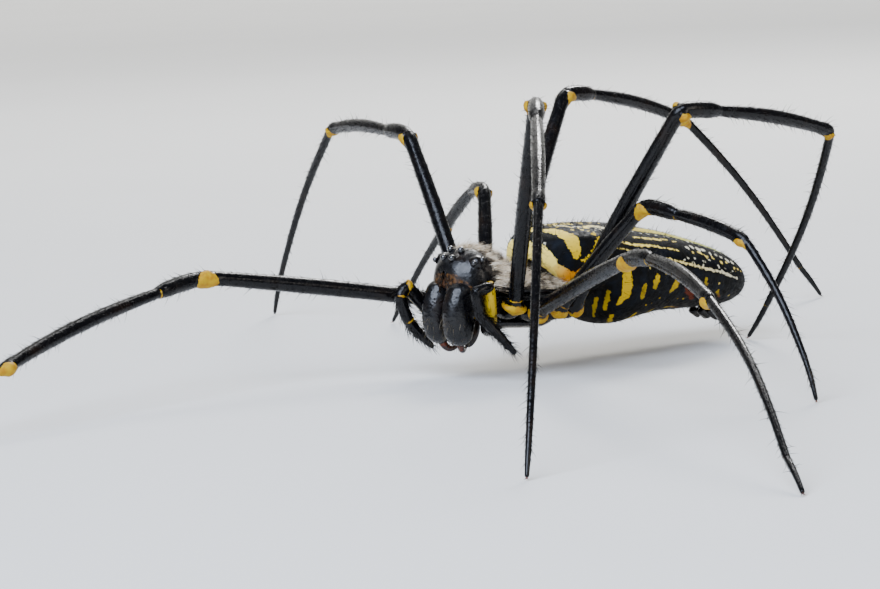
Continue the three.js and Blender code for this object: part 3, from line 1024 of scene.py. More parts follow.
@dataclass
class Legs:
    """The eight legs, from the coxae under the body to the claws."""

    pairs: tuple[Pair, ...] = (
        Pair((3.7, 2.2, -1.6), (3.9, 4.9, -1.2), (25, 6, 21.5, 26, 5)),
        Pair((1.4, 2.2, -1.6), (1.5, 5.5, -1.5), (21.5, 5.5, 16, 25, 5)),
        Pair((-0.8, 2.2, -1.6), (-0.9, 5.5, -1.5), (15.4, 4.5, 9, 13, 4), 0.94),
        Pair((-2.8, 2.1, -1.5), (-3.3, 5.0, -1.3), (25.2, 4.5, 15.5, 23.5, 4.5)),
    )
    stances: dict[str, Stance] = field(default_factory=lambda: {
        "right_1": Stance(-6, -59, 19, (34, 8, 6)),
        "right_2": Stance(-104, -1, 51, (49, 4, 16), 0.96),
        "right_3": Stance(-115, -17, 44, (49, 27, 6)),
        "right_4": Stance(-169, 12, 52, (56, 11, 2)),
        "left_1": Stance(52, 7, 62, (74, 5, 14), 0.93),
        "left_2": Stance(68, 17, 19, (13, 13, 1), 1.03),
        "left_3": Stance(94, 7, 44, (52, 5, 14)),
        "left_4": Stance(172, -38, 83, (89, 9, 11)),
    })
    # coxa, trochanter, femur, patella, tibia, metatarsus and tarsus
    articles: tuple[Article, ...] = (
        Article((0.8, 0.95, 0.84), soft=(0.15, 0.8), hairy=0.5, knob=0.06),
        Article((0.84, 0.88, 0.78), soft=(0.04, 0.05), hairy=0.4),
        Article((0.74, 0.82, 0.68), 0.012, (1.35, 1.4), 0.7, 0.05),
        Article((0.66, 0.82, 0.6), 0.03, (0.06, 0.08), 0.7, 0.05),
        Article((0.54, 0.68, 0.56), 0.03, (1.15, 0.95), 1.0, 0.07),
        Article((0.46, 0.4, 0.32), 0.04, (0.05, 0.06), 1.1),
        Article((0.3, 0.28, 0.2), 0.02, hairy=1.3),
    )
    nodes: tuple[str, ...] = ("coxa", "femur", "patella", "tibia", "foot")
    coat: Coat = Coat(9.0, 0.25, 0.65, 0.018, rise=0.3, curl=0.2, scatter=0.14, seed=11)
    setae: Coat = Coat(1.3, 0.6, 1.25, 0.024, rise=0.6, curl=0.15, scatter=0.2, seed=13)
    seed_step: int = 7                  # from one leg's coats to the next leg's
    trochanter: float = 1.2             # length of the ring between coxa and femur
    tip_level: float = 0.16             # height of the last joint's centre over the floor
    claw_length: float = 0.42
    claw_radius: float = 0.055
    claw_spread: float = 0.5
    claw_hook: float = 0.12             # how far the tip curves down
    claw_level: float = 0.05            # lowest height of its centre

    def chain(self, name: str) -> tuple[Points, Points]:
        """Joints of a leg from under the body to the tip, and the back of each article.

        Args:
            name: Side and number of the leg.

        Returns:
            Eight joints and seven directions, in the row's frame.
        """
        pair = self.pairs[int(name[-1]) - 1]
        stance = self.stances[name]
        side = 1 if name.startswith("left") else -1
        azimuth, lean = math.radians(BODY.heading + stance.swing), math.radians(stance.lean)
        out = np.array([math.cos(azimuth), math.sin(azimuth), 0])
        across = np.array([-math.sin(azimuth), math.cos(azimuth), 0])
        raised = math.cos(lean) * UP + math.sin(lean) * across

        def way(angle: float) -> Points:
            """Direction in the leg's own plane."""
            return math.cos(angle) * out + math.sin(angle) * raised

        root, hip = (BODY.place([x, side * y, z]) for x, y, z in (pair.root, pair.hip))
        lengths = np.array(pair.lengths) * stance.reach
        knee, shin, toe = (math.radians(b) for b in stance.bends)
        rise = math.radians(stance.rise)
        slopes = [rise, rise - knee, rise - knee - shin]
        joints = [root, hip, hip + way(rise) * self.trochanter, hip + way(rise) * lengths[0]]
        for slope, length in zip(slopes[1:], lengths[1:]):
            joints.append(joints[-1] + way(slope) * length)
        last = self.landing(joints[-1], lengths, slopes[2], toe, way)
        slopes += [last, last - toe]
        for slope, length in zip(slopes[3:], lengths[3:]):
            joints.append(joints[-1] + way(slope) * length)
        return np.array(joints), np.array([UP] + [way(s + math.pi / 2) for s in slopes[:1] + slopes])

    def landing(self, start: Points, lengths: Points, slope: float, toe: float,
                way: Callable[[float], Points]) -> float:
        """Slope of the metatarsus that lands the tip on the floor.

        Args:
            start: The tibia's far joint.
            lengths: The five articles' lengths.
            slope: The tibia's slope in radians.
            toe: Bend at the tarsus in radians.
            way: Gives the direction of a slope.

        Returns:
            The slope in radians.
        """
        def over(angle: float) -> float:
            """Height of the tip over its place."""
            return (start + way(angle) * lengths[3] + way(angle - toe) * lengths[4])[2] - self.tip_level

        high = low = slope + math.radians(20)
        for _ in range(150):
            if over(low) <= 0:
                break
            high, low = low, low - math.radians(1)
        for _ in range(30):
            middle = (low + high) / 2
            high, low = (middle, low) if over(middle) > 0 else (high, middle)
        return high

    def claws(self, tip: Points, travel: Points, back: Points) -> list[Points]:
        """Rings of a foot's three claws.

        Args:
            tip: Where they grow from.
            travel: Direction of the tarsus.
            back: Its back.

        Returns:
            The rings of each claw.
        """
        side = unit(np.cross(back, travel))
        t = np.linspace(0, 1, 7)[:, None]
        size = self.claw_radius * (1 - 0.85 * t[:, 0])
        made = []
        for spread in (-self.claw_spread, 0.0, self.claw_spread):
            line = tip + (travel + spread * side) * t * self.claw_length - back * self.claw_hook * t ** 2
            line[:, 2] = np.maximum(line[:, 2], self.claw_level)
            made.append(ring(line, unit(np.gradient(line, axis=0)), back, size, size, 8))
        return made

    def build(self) -> None:
        """Builds skins, bristles and claws."""
        claws: list[Object] = []
        for number, name in enumerate(self.stances):
            joints, backs = self.chain(name)
            thick = self.pairs[int(name[-1]) - 1].thick
            leg = Limb(f"{name}_leg", joints, backs, self.articles, thick=thick).skin()
            finished(leg, LIMB, [f"{name}_{node}" for node in self.nodes])
            for kind, coat in (("bristles", self.coat), ("setae", self.setae)):
                seeded = replace(coat, seed=coat.seed + self.seed_step * number)
                seeded.grow(f"{name}_{kind}", leg, BRISTLE, "cuticle")
            travel = unit(joints[-1] - joints[-2])
            for i, rings in enumerate(self.claws(joints[-1] - travel * 0.1, travel, backs[-1])):
                claws.append(skin(f"{name}_claw_{i}", rings))
        finished(merged("claws", claws), HORN)


# Body


@dataclass
class Abdomen:
    """The abdomen: a long soft sac, blunt in front, with its markings."""

    # each section's place, half width, bottom, top, and how far its flanks hang beside the carapace
    sections: tuple[tuple[float, ...], ...] = (
        (-0.65, 0.0, 4.0, 4.0, 0.0), (-0.7, 1.0, 3.5, 4.5, 0.0), (-1.0, 2.2, 3.0, 5.1, 0.1),
        (-1.8, 3.6, 2.8, 5.75, 1.2), (-3.3, 4.9, 2.65, 6.35, 3.0), (-5.4, 5.7, 2.1, 6.75, 3.3),
        (-7.3, 5.9, 1.5, 6.9, 2.3), (-8.9, 6.1, -2.5, 6.95, 0.5), (-11.4, 6.2, -3.2, 6.9, 0.0),
        (-14.4, 6.0, -2.6, 6.6, 0.0), (-17.6, 5.6, -2.0, 6.2, 0.0), (-20.8, 5.1, -1.8, 5.6, 0.0),
        (-23.8, 4.5, -1.6, 4.9, 0.0), (-26.4, 3.8, -1.4, 4.1, 0.0), (-28.2, 2.9, -0.9, 3.2, 0.0),
        (-29.2, 1.7, 0.0, 2.2, 0.0), (-29.5, 0.8, 0.6, 1.6, 0.0), (-29.6, 0.0, 1.1, 1.1, 0.0))
    ring_count: int = 330
    sides: int = 240
    hairs_on_marks: float = 0.35        # share of the nap that the pale markings keep
    nap: Coat = Coat(5.0, 0.25, 0.6, 0.014, rise=0.3, curl=0.25, scatter=0.15, seed=41)
    setae: Coat = Coat(0.6, 0.6, 1.1, 0.022, rise=0.7, curl=0.2, scatter=0.2, seed=43)

    def rings(self) -> Points:
        """Rings in the body's frame, the front flanks drawn down beside the carapace.

        Returns:
            Points by ring and side.
        """
        x, half, bottom, top, sag = spline(self.sections, self.ring_count).T
        middle = np.stack([x, 0 * x, (bottom + top) / 2], 1)
        depth, width = np.maximum((top - bottom) / 2, 0.01), np.maximum(half, 0.01)
        rings = ring(middle, BACKWARD, UP, depth, width, self.sides)
        below = -np.cos(np.linspace(0, 2 * np.pi, self.sides, endpoint=False))[None]
        beside = (np.abs(rings[..., 1]) / np.maximum(half, 0.3)[:, None]) ** 1.2
        rings[..., 2] -= sag[:, None] * beside * smoothstep(-0.6, 0.4, below)
        return rings

    def build(self) -> None:
        """Builds the skin, its nap and its long hairs."""
        rings = self.rings()
        spot, tone = Markings().paint(rings.reshape(-1, 3))
        coat = np.where(spot > 0.05, self.hairs_on_marks, 1.0)
        piece = skin("abdomen_skin", BODY.place(rings), {
            "spot": spot.reshape(rings.shape[:2]), "tone": tone.reshape(rings.shape),
            "lay": np.broadcast_to(BODY.turn(BACKWARD), rings.shape), "coat": coat.reshape(rings.shape[:2])})
        finished(piece, VELVET, ["abdomen"])
        self.nap.grow("abdomen_nap", piece, NAP, "abdomen_skin")
        self.setae.grow("abdomen_setae", piece, BRISTLE, "abdomen_skin")


class Tone(Enum):
    """Pigment of a marking, as sRGB."""

    CREAM = "#f8dc6c"
    ORANGE = "#c07800"
    YELLOW = "#c8a400"
    PALE_GREEN = "#bccc70"
    OLIVE = "#a0860a"
    RUST = "#5a2410"
    WHITE = "#e6e1c8"

    @property
    def linear(self) -> Points:
        """Red, green and blue as the shader takes them."""
        return np.array(to_linear(self.value)[:3])


@dataclass(frozen=True)
class Mark:
    """A stroke of pigment over points on the left side, which the right side repeats.

    Each corner has its place and the stroke's half width there. The places lie near the skin and
    are moved onto it. tone is the stroke's pigment, or where last_tone is another, its first one.
    """

    corners: tuple[tuple[float, ...], ...]
    tone: Tone = Tone.CREAM
    last_tone: Tone | None = None


@dataclass(frozen=True)
class SpotRow:
    """A row of round or drawn-out spots between two points, growing smaller to the rear.

    drawn is a spot's length along the row against its width, and wander how far the spots stray.
    """

    start: Triple
    end: Triple
    count: int
    half_width: float
    drawn: float = 1.0
    wander: float = 0.12
    tone: Tone = Tone.WHITE

    def marks(self, seed: int) -> list[Mark]:
        """The row's spots as single marks.

        Args:
            seed: Seed of their strays and sizes.

        Returns:
            The marks, from the front to the rear.
        """
        chance = np.random.default_rng(seed)
        start, end = np.array(self.start), np.array(self.end)
        along = unit(end - start)
        made = []
        for share in (np.arange(self.count) + 0.5) / self.count:
            centre = start + (end - start) * share + chance.normal(0, self.wander, 3)
            size = self.half_width * (1 - 0.35 * share) * chance.uniform(0.75, 1.2)
            half = along * size * max(self.drawn - 1, 0.02) * chance.uniform(0.7, 1.2)
            made.append(Mark(((*(centre - half), size), (*(centre + half), size)), self.tone))
        return made


@dataclass(frozen=True)
class Markings:
    """All markings of the abdomen."""

    strokes: tuple[Mark, ...] = (
        # the two bands round the front
        Mark(((-0.9, -0.5, 4.0, 0.95), (-1.0, 2.0, 4.2, 0.85), (-1.6, 2.9, 3.4, 0.85),
              (-2.4, 3.5, 2.4, 0.85))),
        Mark(((-1.5, 3.0, 3.0, 0.84), (-1.9, 3.5, 2.5, 0.84), (-2.3, 4.0, 2.0, 0.82),
              (-2.8, 4.4, 1.6, 0.8)), Tone.CREAM, Tone.ORANGE),
        Mark(((-2.8, 4.4, 1.6, 0.8), (-3.3, 4.8, 1.5, 0.75), (-3.9, 5.2, 1.9, 0.6), (-4.9, 5.6, 3.0, 0.2)),
             Tone.ORANGE),
        Mark(((-2.3, 0.2, 5.9, 0.2), (-2.7, 0.9, 6.1, 0.35), (-3.0, 1.7, 6.1, 0.55), (-3.3, 3.0, 5.9, 0.6),
              (-3.5, 4.1, 5.4, 0.75), (-3.6, 4.8, 4.6, 0.6), (-3.7, 4.7, 3.9, 0.4)),
             Tone.CREAM, Tone.YELLOW),
        Mark(((-1.5, 2.5, 4.9, 0.16), (-1.5, 2.6, 4.9, 0.16)), Tone.WHITE),
        # hooked line behind them, and patches above it
        Mark(((-7.3, 5.2, 5.2, 0.2), (-6.6, 5.0, 5.5, 0.3), (-6.0, 5.3, 5.2, 0.25), (-5.5, 5.6, 4.6, 0.16),
              (-5.0, 5.2, 3.7, 0.16), (-4.4, 4.5, 3.3, 0.12)), Tone.YELLOW),
        Mark(((-6.1, 4.4, 5.9, 0.24), (-6.3, 4.5, 5.8, 0.2)), Tone.YELLOW),
        Mark(((-6.4, 2.9, 6.6, 0.3), (-7.6, 2.4, 6.7, 0.35), (-8.8, 2.6, 6.6, 0.4), (-9.6, 3.3, 6.2, 0.2)),
             Tone.CREAM, Tone.WHITE),
        Mark(((-4.4, 0.9, 6.6, 0.16), (-4.9, 1.5, 6.6, 0.2), (-5.2, 2.4, 6.4, 0.1)),
             Tone.WHITE, Tone.CREAM),
        Mark(((-5.4, 0.6, 6.8, 0.14), (-5.9, 1.3, 6.8, 0.2))),
        # stripe beside the midline of the back
        Mark(((-10.2, 2.4, 6.6, 0.3), (-13.2, 2.2, 6.5, 0.6), (-16.0, 2.0, 6.2, 0.75),
              (-19.0, 1.9, 5.8, 0.75), (-22.0, 1.8, 5.1, 0.7), (-25.0, 1.7, 4.4, 0.5),
              (-27.8, 1.2, 3.3, 0.15)), Tone.YELLOW, Tone.PALE_GREEN),
        # long thin lines of the upper flank
        Mark(((-9.0, 4.5, 5.4, 0.1), (-11.0, 4.9, 4.9, 0.18), (-14.0, 4.8, 4.8, 0.16),
              (-17.2, 4.7, 4.4, 0.1))),
        Mark(((-8.6, 5.2, 4.7, 0.12), (-10.6, 5.4, 4.3, 0.08))),
        Mark(((-14.5, 5.6, 3.7, 0.1), (-17.7, 5.4, 3.1, 0.14), (-20.5, 5.0, 2.6, 0.13),
              (-23.0, 4.5, 2.2, 0.14), (-26.3, 3.7, 1.5, 0.1)), Tone.CREAM, Tone.WHITE),
        # blotches of the lower flank
        Mark(((-9.2, 6.0, 2.6, 0.45), (-9.4, 6.0, 1.4, 0.65), (-9.6, 5.6, 0.2, 0.55),
              (-9.2, 4.9, -0.7, 0.25)), Tone.YELLOW),
        Mark(((-9.6, 6.0, 1.6, 0.2), (-9.7, 5.8, 0.6, 0.3)), Tone.ORANGE),
        Mark(((-11.7, 6.1, 1.0, 0.25), (-11.7, 5.9, 0.5, 0.34), (-11.8, 5.6, -0.1, 0.3)), Tone.OLIVE),
        Mark(((-13.4, 6.1, 1.8, 0.32), (-13.3, 6.0, 1.4, 0.4), (-13.2, 5.9, 1.0, 0.36)),
             Tone.YELLOW, Tone.OLIVE),
        Mark(((-16.6, 5.7, 1.6, 0.4), (-16.3, 5.6, 1.1, 0.46), (-15.9, 5.3, 0.4, 0.28)),
             Tone.YELLOW, Tone.OLIVE),
        Mark(((-17.4, 5.5, 1.5, 0.25), (-18.6, 5.0, 0.5, 0.4), (-20.0, 4.0, -0.5, 0.2)), Tone.RUST),
        Mark(((-20.9, 4.9, 1.5, 0.25), (-21.0, 4.8, 0.9, 0.25)), Tone.OLIVE),
        Mark(((-8.3, 4.9, 0.6, 0.2), (-8.5, 4.3, -0.5, 0.3), (-8.8, 3.6, -1.4, 0.15)),
             Tone.OLIVE, Tone.YELLOW),
        Mark(((-8.3, 3.2, -0.2, 0.2), (-8.6, 2.5, -1.2, 0.3), (-9.0, 1.8, -2.2, 0.15)),
             Tone.YELLOW, Tone.OLIVE),
        Mark(((-9.6, 3.6, -1.9, 0.2), (-10.4, 2.6, -2.6, 0.3), (-10.9, 1.6, -3.0, 0.15)),
             Tone.YELLOW, Tone.OLIVE),
        # underside
        Mark(((-12.6, 3.9, -1.9, 0.2), (-12.8, 2.6, -2.6, 0.4), (-12.8, 1.4, -2.9, 0.2)), Tone.YELLOW),
        Mark(((-15.2, 3.4, -1.7, 0.25), (-15.3, 1.9, -2.4, 0.2)), Tone.OLIVE),
        Mark(((-17.4, 3.0, -1.5, 0.2), (-19.8, 2.2, -1.5, 0.1)), Tone.OLIVE, Tone.RUST),
        Mark(((-23.4, 4.2, 0.2, 0.2), (-24.2, 3.6, -0.6, 0.15)), Tone.OLIVE, Tone.RUST),
    )
    rows: tuple[SpotRow, ...] = (
        SpotRow((-3.9, 0.3, 6.4), (-6.0, 3.6, 6.2), 9, 0.12, 1.3, 0.25, Tone.CREAM),
        SpotRow((-4.4, 0.2, 6.6), (-9.8, 1.2, 6.9), 13, 0.17, 1.5, 0.3, Tone.CREAM),
        SpotRow((-5.2, 2.2, 6.5), (-9.4, 3.8, 6.1), 11, 0.15, 1.5, 0.25),
        SpotRow((-5.0, 3.4, 6.2), (-7.8, 4.6, 5.8), 7, 0.12, 1.3, 0.2, Tone.CREAM),
        SpotRow((-11.5, 4.0, 5.6), (-18.3, 3.6, 5.2), 5, 0.17, 4.5, 0.04, Tone.CREAM),
        SpotRow((-12.0, 3.2, 6.1), (-19.0, 3.0, 5.5), 7, 0.08, 3.0, 0.06),
        SpotRow((-18.6, 3.7, 4.9), (-26.6, 3.0, 2.9), 9, 0.28, 1.1, 0.1),
        SpotRow((-18.9, 4.3, 4.2), (-27.2, 3.1, 2.1), 8, 0.21, 1.6, 0.14, Tone.CREAM),
        SpotRow((-19.5, 2.8, 5.3), (-27.4, 2.2, 3.1), 8, 0.13, 1.2, 0.14),
        SpotRow((-17.5, 4.9, 3.8), (-26.0, 3.7, 2.2), 7, 0.1, 2.0, 0.12),
        SpotRow((-16.8, 5.4, 3.6), (-25.6, 4.0, 1.9), 6, 0.08, 2.5, 0.1),
        SpotRow((-10.2, 5.9, 2.9), (-18.0, 5.5, 1.8), 6, 0.09, 1.0, 0.5, Tone.CREAM),
        SpotRow((-10.8, 5.2, -0.8), (-19.5, 4.2, -0.2), 7, 0.1, 1.2, 0.3, Tone.YELLOW),
        SpotRow((-21.8, 4.4, 0.9), (-28.0, 2.3, 0.9), 6, 0.11, 1.0, 0.5, Tone.CREAM),
        SpotRow((-11.0, 1.1, 6.9), (-26.0, 0.5, 4.3), 12, 0.07, 2.0, 0.02),
        SpotRow((-13.4, 0.9, -2.9), (-23.0, 1.2, -1.8), 6, 0.12, 1.2, 0.1, Tone.OLIVE),
    )

    search: float = 1.5                 # how far round a stroke the skin is looked at
    onto: float = 1 - 1e-3              # share of a skin point's place that a stroke's point takes

    def paint(self, points: Points) -> tuple[Points, Points]:
        """Depth inside the nearest marking, and its linear colour.

        Args:
            points: Points of the skin in the body's frame, one a row.

        Returns:
            The depth in millimetres, negative outside, and the colours.
        """
        folded = points * np.where(points[:, 1:2] >= 0, 1, [1, -1, 1])
        inside = np.full(len(points), -1.0)
        colour = np.tile(Tone.CREAM.linear, (len(points), 1))
        marks = [*self.strokes, *(mark for seed, row in enumerate(self.rows) for mark in row.marks(seed))]
        for mark in marks:
            *places, half_widths = np.array(mark.corners, float).T
            last_corner = len(half_widths) - 1
            numbers = np.arange(last_corner + 1)
            steps = np.linspace(0, last_corner, 3 * last_corner + 1)
            line = np.stack([np.interp(steps, numbers, column) for column in places], 1)
            nearest = [np.argmin(np.linalg.norm(points - place, axis=1)) for place in line]
            line = points[nearest] * self.onto
            near = np.abs(folded - line.mean(0)).max(1) < np.ptp(line, axis=0).max() / 2 + self.search
            gap, place = to_lines(folded[near], line).T
            share = place / (len(line) - 1)
            width = np.interp(share * last_corner, numbers, half_widths)
            first, last = mark.tone.linear, (mark.last_tone or mark.tone).linear
            mixed = first + (last - first) * share[:, None]
            deeper = width - gap > inside[near]
            colour[np.flatnonzero(near)[deeper]] = mixed[deeper]
            inside[near] = np.maximum(inside[near], width - gap)
        return inside, colour


@dataclass(frozen=True)
class Groove:
    """A groove of the shield along a line seen from above, the same on both sides."""

    line: tuple[tuple[float, float], ...]
    depth: float
    width: float


@dataclass
class Carapace:
    """Head and thorax shield with the down on it."""

    # each section's place, half width and crown height
    sections: tuple[Triple, ...] = (
        (-6.55, 0.4, 0.5), (-6.4, 1.3, 0.65), (-6.0, 2.0, 0.85), (-4.8, 3.1, 1.1), (-2.6, 4.5, 1.45),
        (-0.4, 5.3, 1.75), (1.8, 5.2, 2.6), (3.6, 4.3, 3.75), (5.2, 3.7, 4.4), (6.6, 3.45, 4.4),
        (7.7, 2.95, 3.9), (8.4, 2.2, 3.3), (8.8, 1.5, 2.8), (8.9, 0.6, 2.5))
    ring_count: int = 150
    dome_sides: int = 84
    outline: float = 0.8                # power of the dome's outline: 1 is half an ellipse, less is boxier
    head_boxier: float = 0.2            # taken off that power at the head
    edge: float = 0.35                  # height of the side margin
    edge_inside: float = 0.35           # width of the flat under it
    core: float = 1.4                   # half width of the thorax between the hips
    floor: float = -1.9                 # lowest level of the thorax
    head_from: float = 4.4              # where the head begins, and the floor rises
    head_rise: float = 0.95             # slope of that floor
    pit: Triple = (-1.4, 0.5, 1.1)      # place, half length and half width
    pit_depth: float = 0.5
    # the first lies between head and thorax, the others run out from the pit towards the legs
    grooves: tuple[Groove, ...] = (
        Groove(((-1.0, 0.15), (1.6, 1.6), (4.6, 3.2)), 0.28, 0.5),
        *(Groove(((-1.4, 0.4), end), 0.12, 0.35)
          for end in ((-0.6, 5.0), (-3.4, 4.4), (-5.2, 2.6), (1.2, 4.9))))
    tubercle: Triple = (6.85, 2.55, 2.95)           # swelling under the side eyes
    tubercle_radius: float = 0.8
    bare: tuple[float, float] = (6.9, 7.6)                  # places between which the down ends
    thin_from: tuple[float, float] = (5.5, 6.8)             # places between which the brown margin begins
    down: Coat = Coat(120.0, 0.4, 0.9, 0.022, rise=0.28, curl=0.3, scatter=0.3, seed=21)
    fringe: Coat = Coat(30.0, 0.8, 1.4, 0.02, rise=0.45, curl=0.35, scatter=0.4, seed=23)

    def relief(self, points: Points) -> Points:
        """Depth of the pit and the grooves at points of the shield.

        Args:
            points: Points in the body's frame, one a row.

        Returns:
            The depth at each.
        """
        x, y = points[:, 0], points[:, 1]
        place, half_length, half_width = self.pit
        depth = self.pit_depth * np.exp(-np.hypot((x - place) / half_length, y / half_width) ** 2)
        for groove in self.grooves:
            gap = to_lines(np.stack([x, np.abs(y)], 1), np.array(groove.line))[:, 0]
            depth = depth + groove.depth * np.exp(-(gap / groove.width) ** 2)
        return depth

    def rings(self) -> Points:
        """Rings in the body's frame: the dome from margin to margin, and the core between the hips.

        Returns:
            Points by ring and side.
        """
        x, half, crown = spline(self.sections, self.ring_count).T
        over = np.linspace(0, np.pi, self.dome_sides)
        head = smoothstep(self.head_from - 1, self.head_from + 1, x)
        lift = np.sin(over)[None] ** (self.outline - self.head_boxier * head)[:, None]
        dome_y = -half[:, None] * np.cos(over)[None]
        dome_z = self.edge + (crown - self.edge)[:, None] * lift
        low = np.where(x > self.head_from, self.floor + (x - self.head_from) * self.head_rise, self.floor)
        low = np.minimum(low, crown - 0.4)
        # the underside's corners: under the margin, beside the core, half way down it, and its floor
        rim = np.where(half > 2 * self.edge_inside, half - self.edge_inside, half * 0.5)
        core = np.minimum(self.core, half * 0.75)
        across = np.stack([rim, core + 0.2, core, core * 0.4], 1)
        down = np.stack([0 * low + (self.edge - 0.35), 0 * low + (self.edge - 0.5), low / 2, low], 1)
        steps = np.linspace(0, 1, 9)[1:-1]
        under_y, under_z = (np.stack([np.interp(steps, [0, 0.25, 0.5, 1], row) for row in corners])
                            for corners in (across, down))
        under_z = np.minimum(under_z, crown[:, None] - 0.3)
        y = np.hstack([dome_y, under_y, -under_y[:, ::-1]])
        z = np.hstack([dome_z, under_z, under_z[:, ::-1]])
        return np.stack([np.repeat(x[:, None], y.shape[1], 1), y, z], 2)

    def build(self) -> None:
        """Builds the shield and its down."""
        rings = self.rings()
        points = rings.reshape(-1, 3)
        top = (points[:, 2] > self.edge + 0.3).astype(float)
        points[:, 2] -= self.relief(points) * top * smoothstep(0.0, 1.2, points[:, 2] - self.edge)
        for side in Side:
            away = points - side.of(self.tubercle)
            far = np.linalg.norm(away, axis=1)
            push = np.clip(self.tubercle_radius - far, 0, None) * smoothstep(0.02, 0.3, far)
            points += unit(away) * push[:, None]
        x, y, z = points.T
        coat = top * smoothstep(-self.bare[1], -self.bare[0], -x - 0.5 * np.abs(y))
        coat = coat * smoothstep(self.edge + 0.1, self.edge + 0.7, z)
        # the margin climbs at the front of the head
        margin = smoothstep(*self.thin_from, x) * smoothstep(0.8, 0.25, z - 1.4 * smoothstep(7.4, 8.9, x))
        lay = unit(BODY.turn(BACKWARD + points * [0, 0.08, 0]))
        shape = rings.shape[:2]
        piece = skin("carapace_shield", BODY.place(rings), {
            "coat": coat.reshape(shape), "lay": lay.reshape(rings.shape), "margin": margin.reshape(shape)})
        finished(piece, CUTICLE, ["carapace"])
        self.down.grow("carapace_down", piece, DOWN, "carapace_down")
        self.fringe.grow("carapace_fringe", piece, DOWN, "carapace_down")


@dataclass
class Eyes:
    """Eight eyes, each a clear bead in a low dark collar."""

    # each left eye's place and radius
    places: dict[str, tuple[Triple, float]] = field(default_factory=lambda: {
        "front_middle": ((8.45, 0.65, 3.35), 0.34), "rear_middle": ((7.5, 0.8, 4.15), 0.34),
        "front_side": ((7.6, 3.0, 3.0), 0.27), "rear_side": ((6.8, 3.25, 3.35), 0.27)})
    head_centre: Triple = (6.0, 0.0, 2.2)           # the eyes look away from it
    # the collar's section: places along the eye's axis and radii, as shares of the eye's radius
    collar: tuple[tuple[float, float], ...] = (
        (-0.95, 0.7), (-0.85, 1.3), (-0.65, 1.15), (-0.5, 1.0), (-0.52, 0.85), (-0.85, 0.6))
    sides: int = 28

    def build(self) -> None:
        """Builds beads and collars."""
        turn = np.linspace(0, np.pi, 17)[1:-1]
        bead, collar = np.stack([-np.cos(turn), np.sin(turn)], 1), spline(self.collar, 22)
        collars = []
        for kind, (at, radius) in self.places.items():
            for side in Side:
                centre = side.of(at)
                out = unit(centre - np.array(self.head_centre))
                back = unit(np.cross(out, [0.3, 0.9, 0.1]))
                name = f"{kind}_{side.word}"
                made = []
                for title, (place, size) in ((f"eye_{name}_bead", bead.T), (f"collar_{name}", collar.T)):
                    line, size = centre + out * radius * place[:, None], size * radius
                    made.append(skin(title, BODY.place(ring(line, out, back, size, size, self.sides))))
                finished(made[0], LENS, [f"eye_{name}"])
                collars.append(made[1])
        finished(merged("eye_collars", collars), COLLAR)


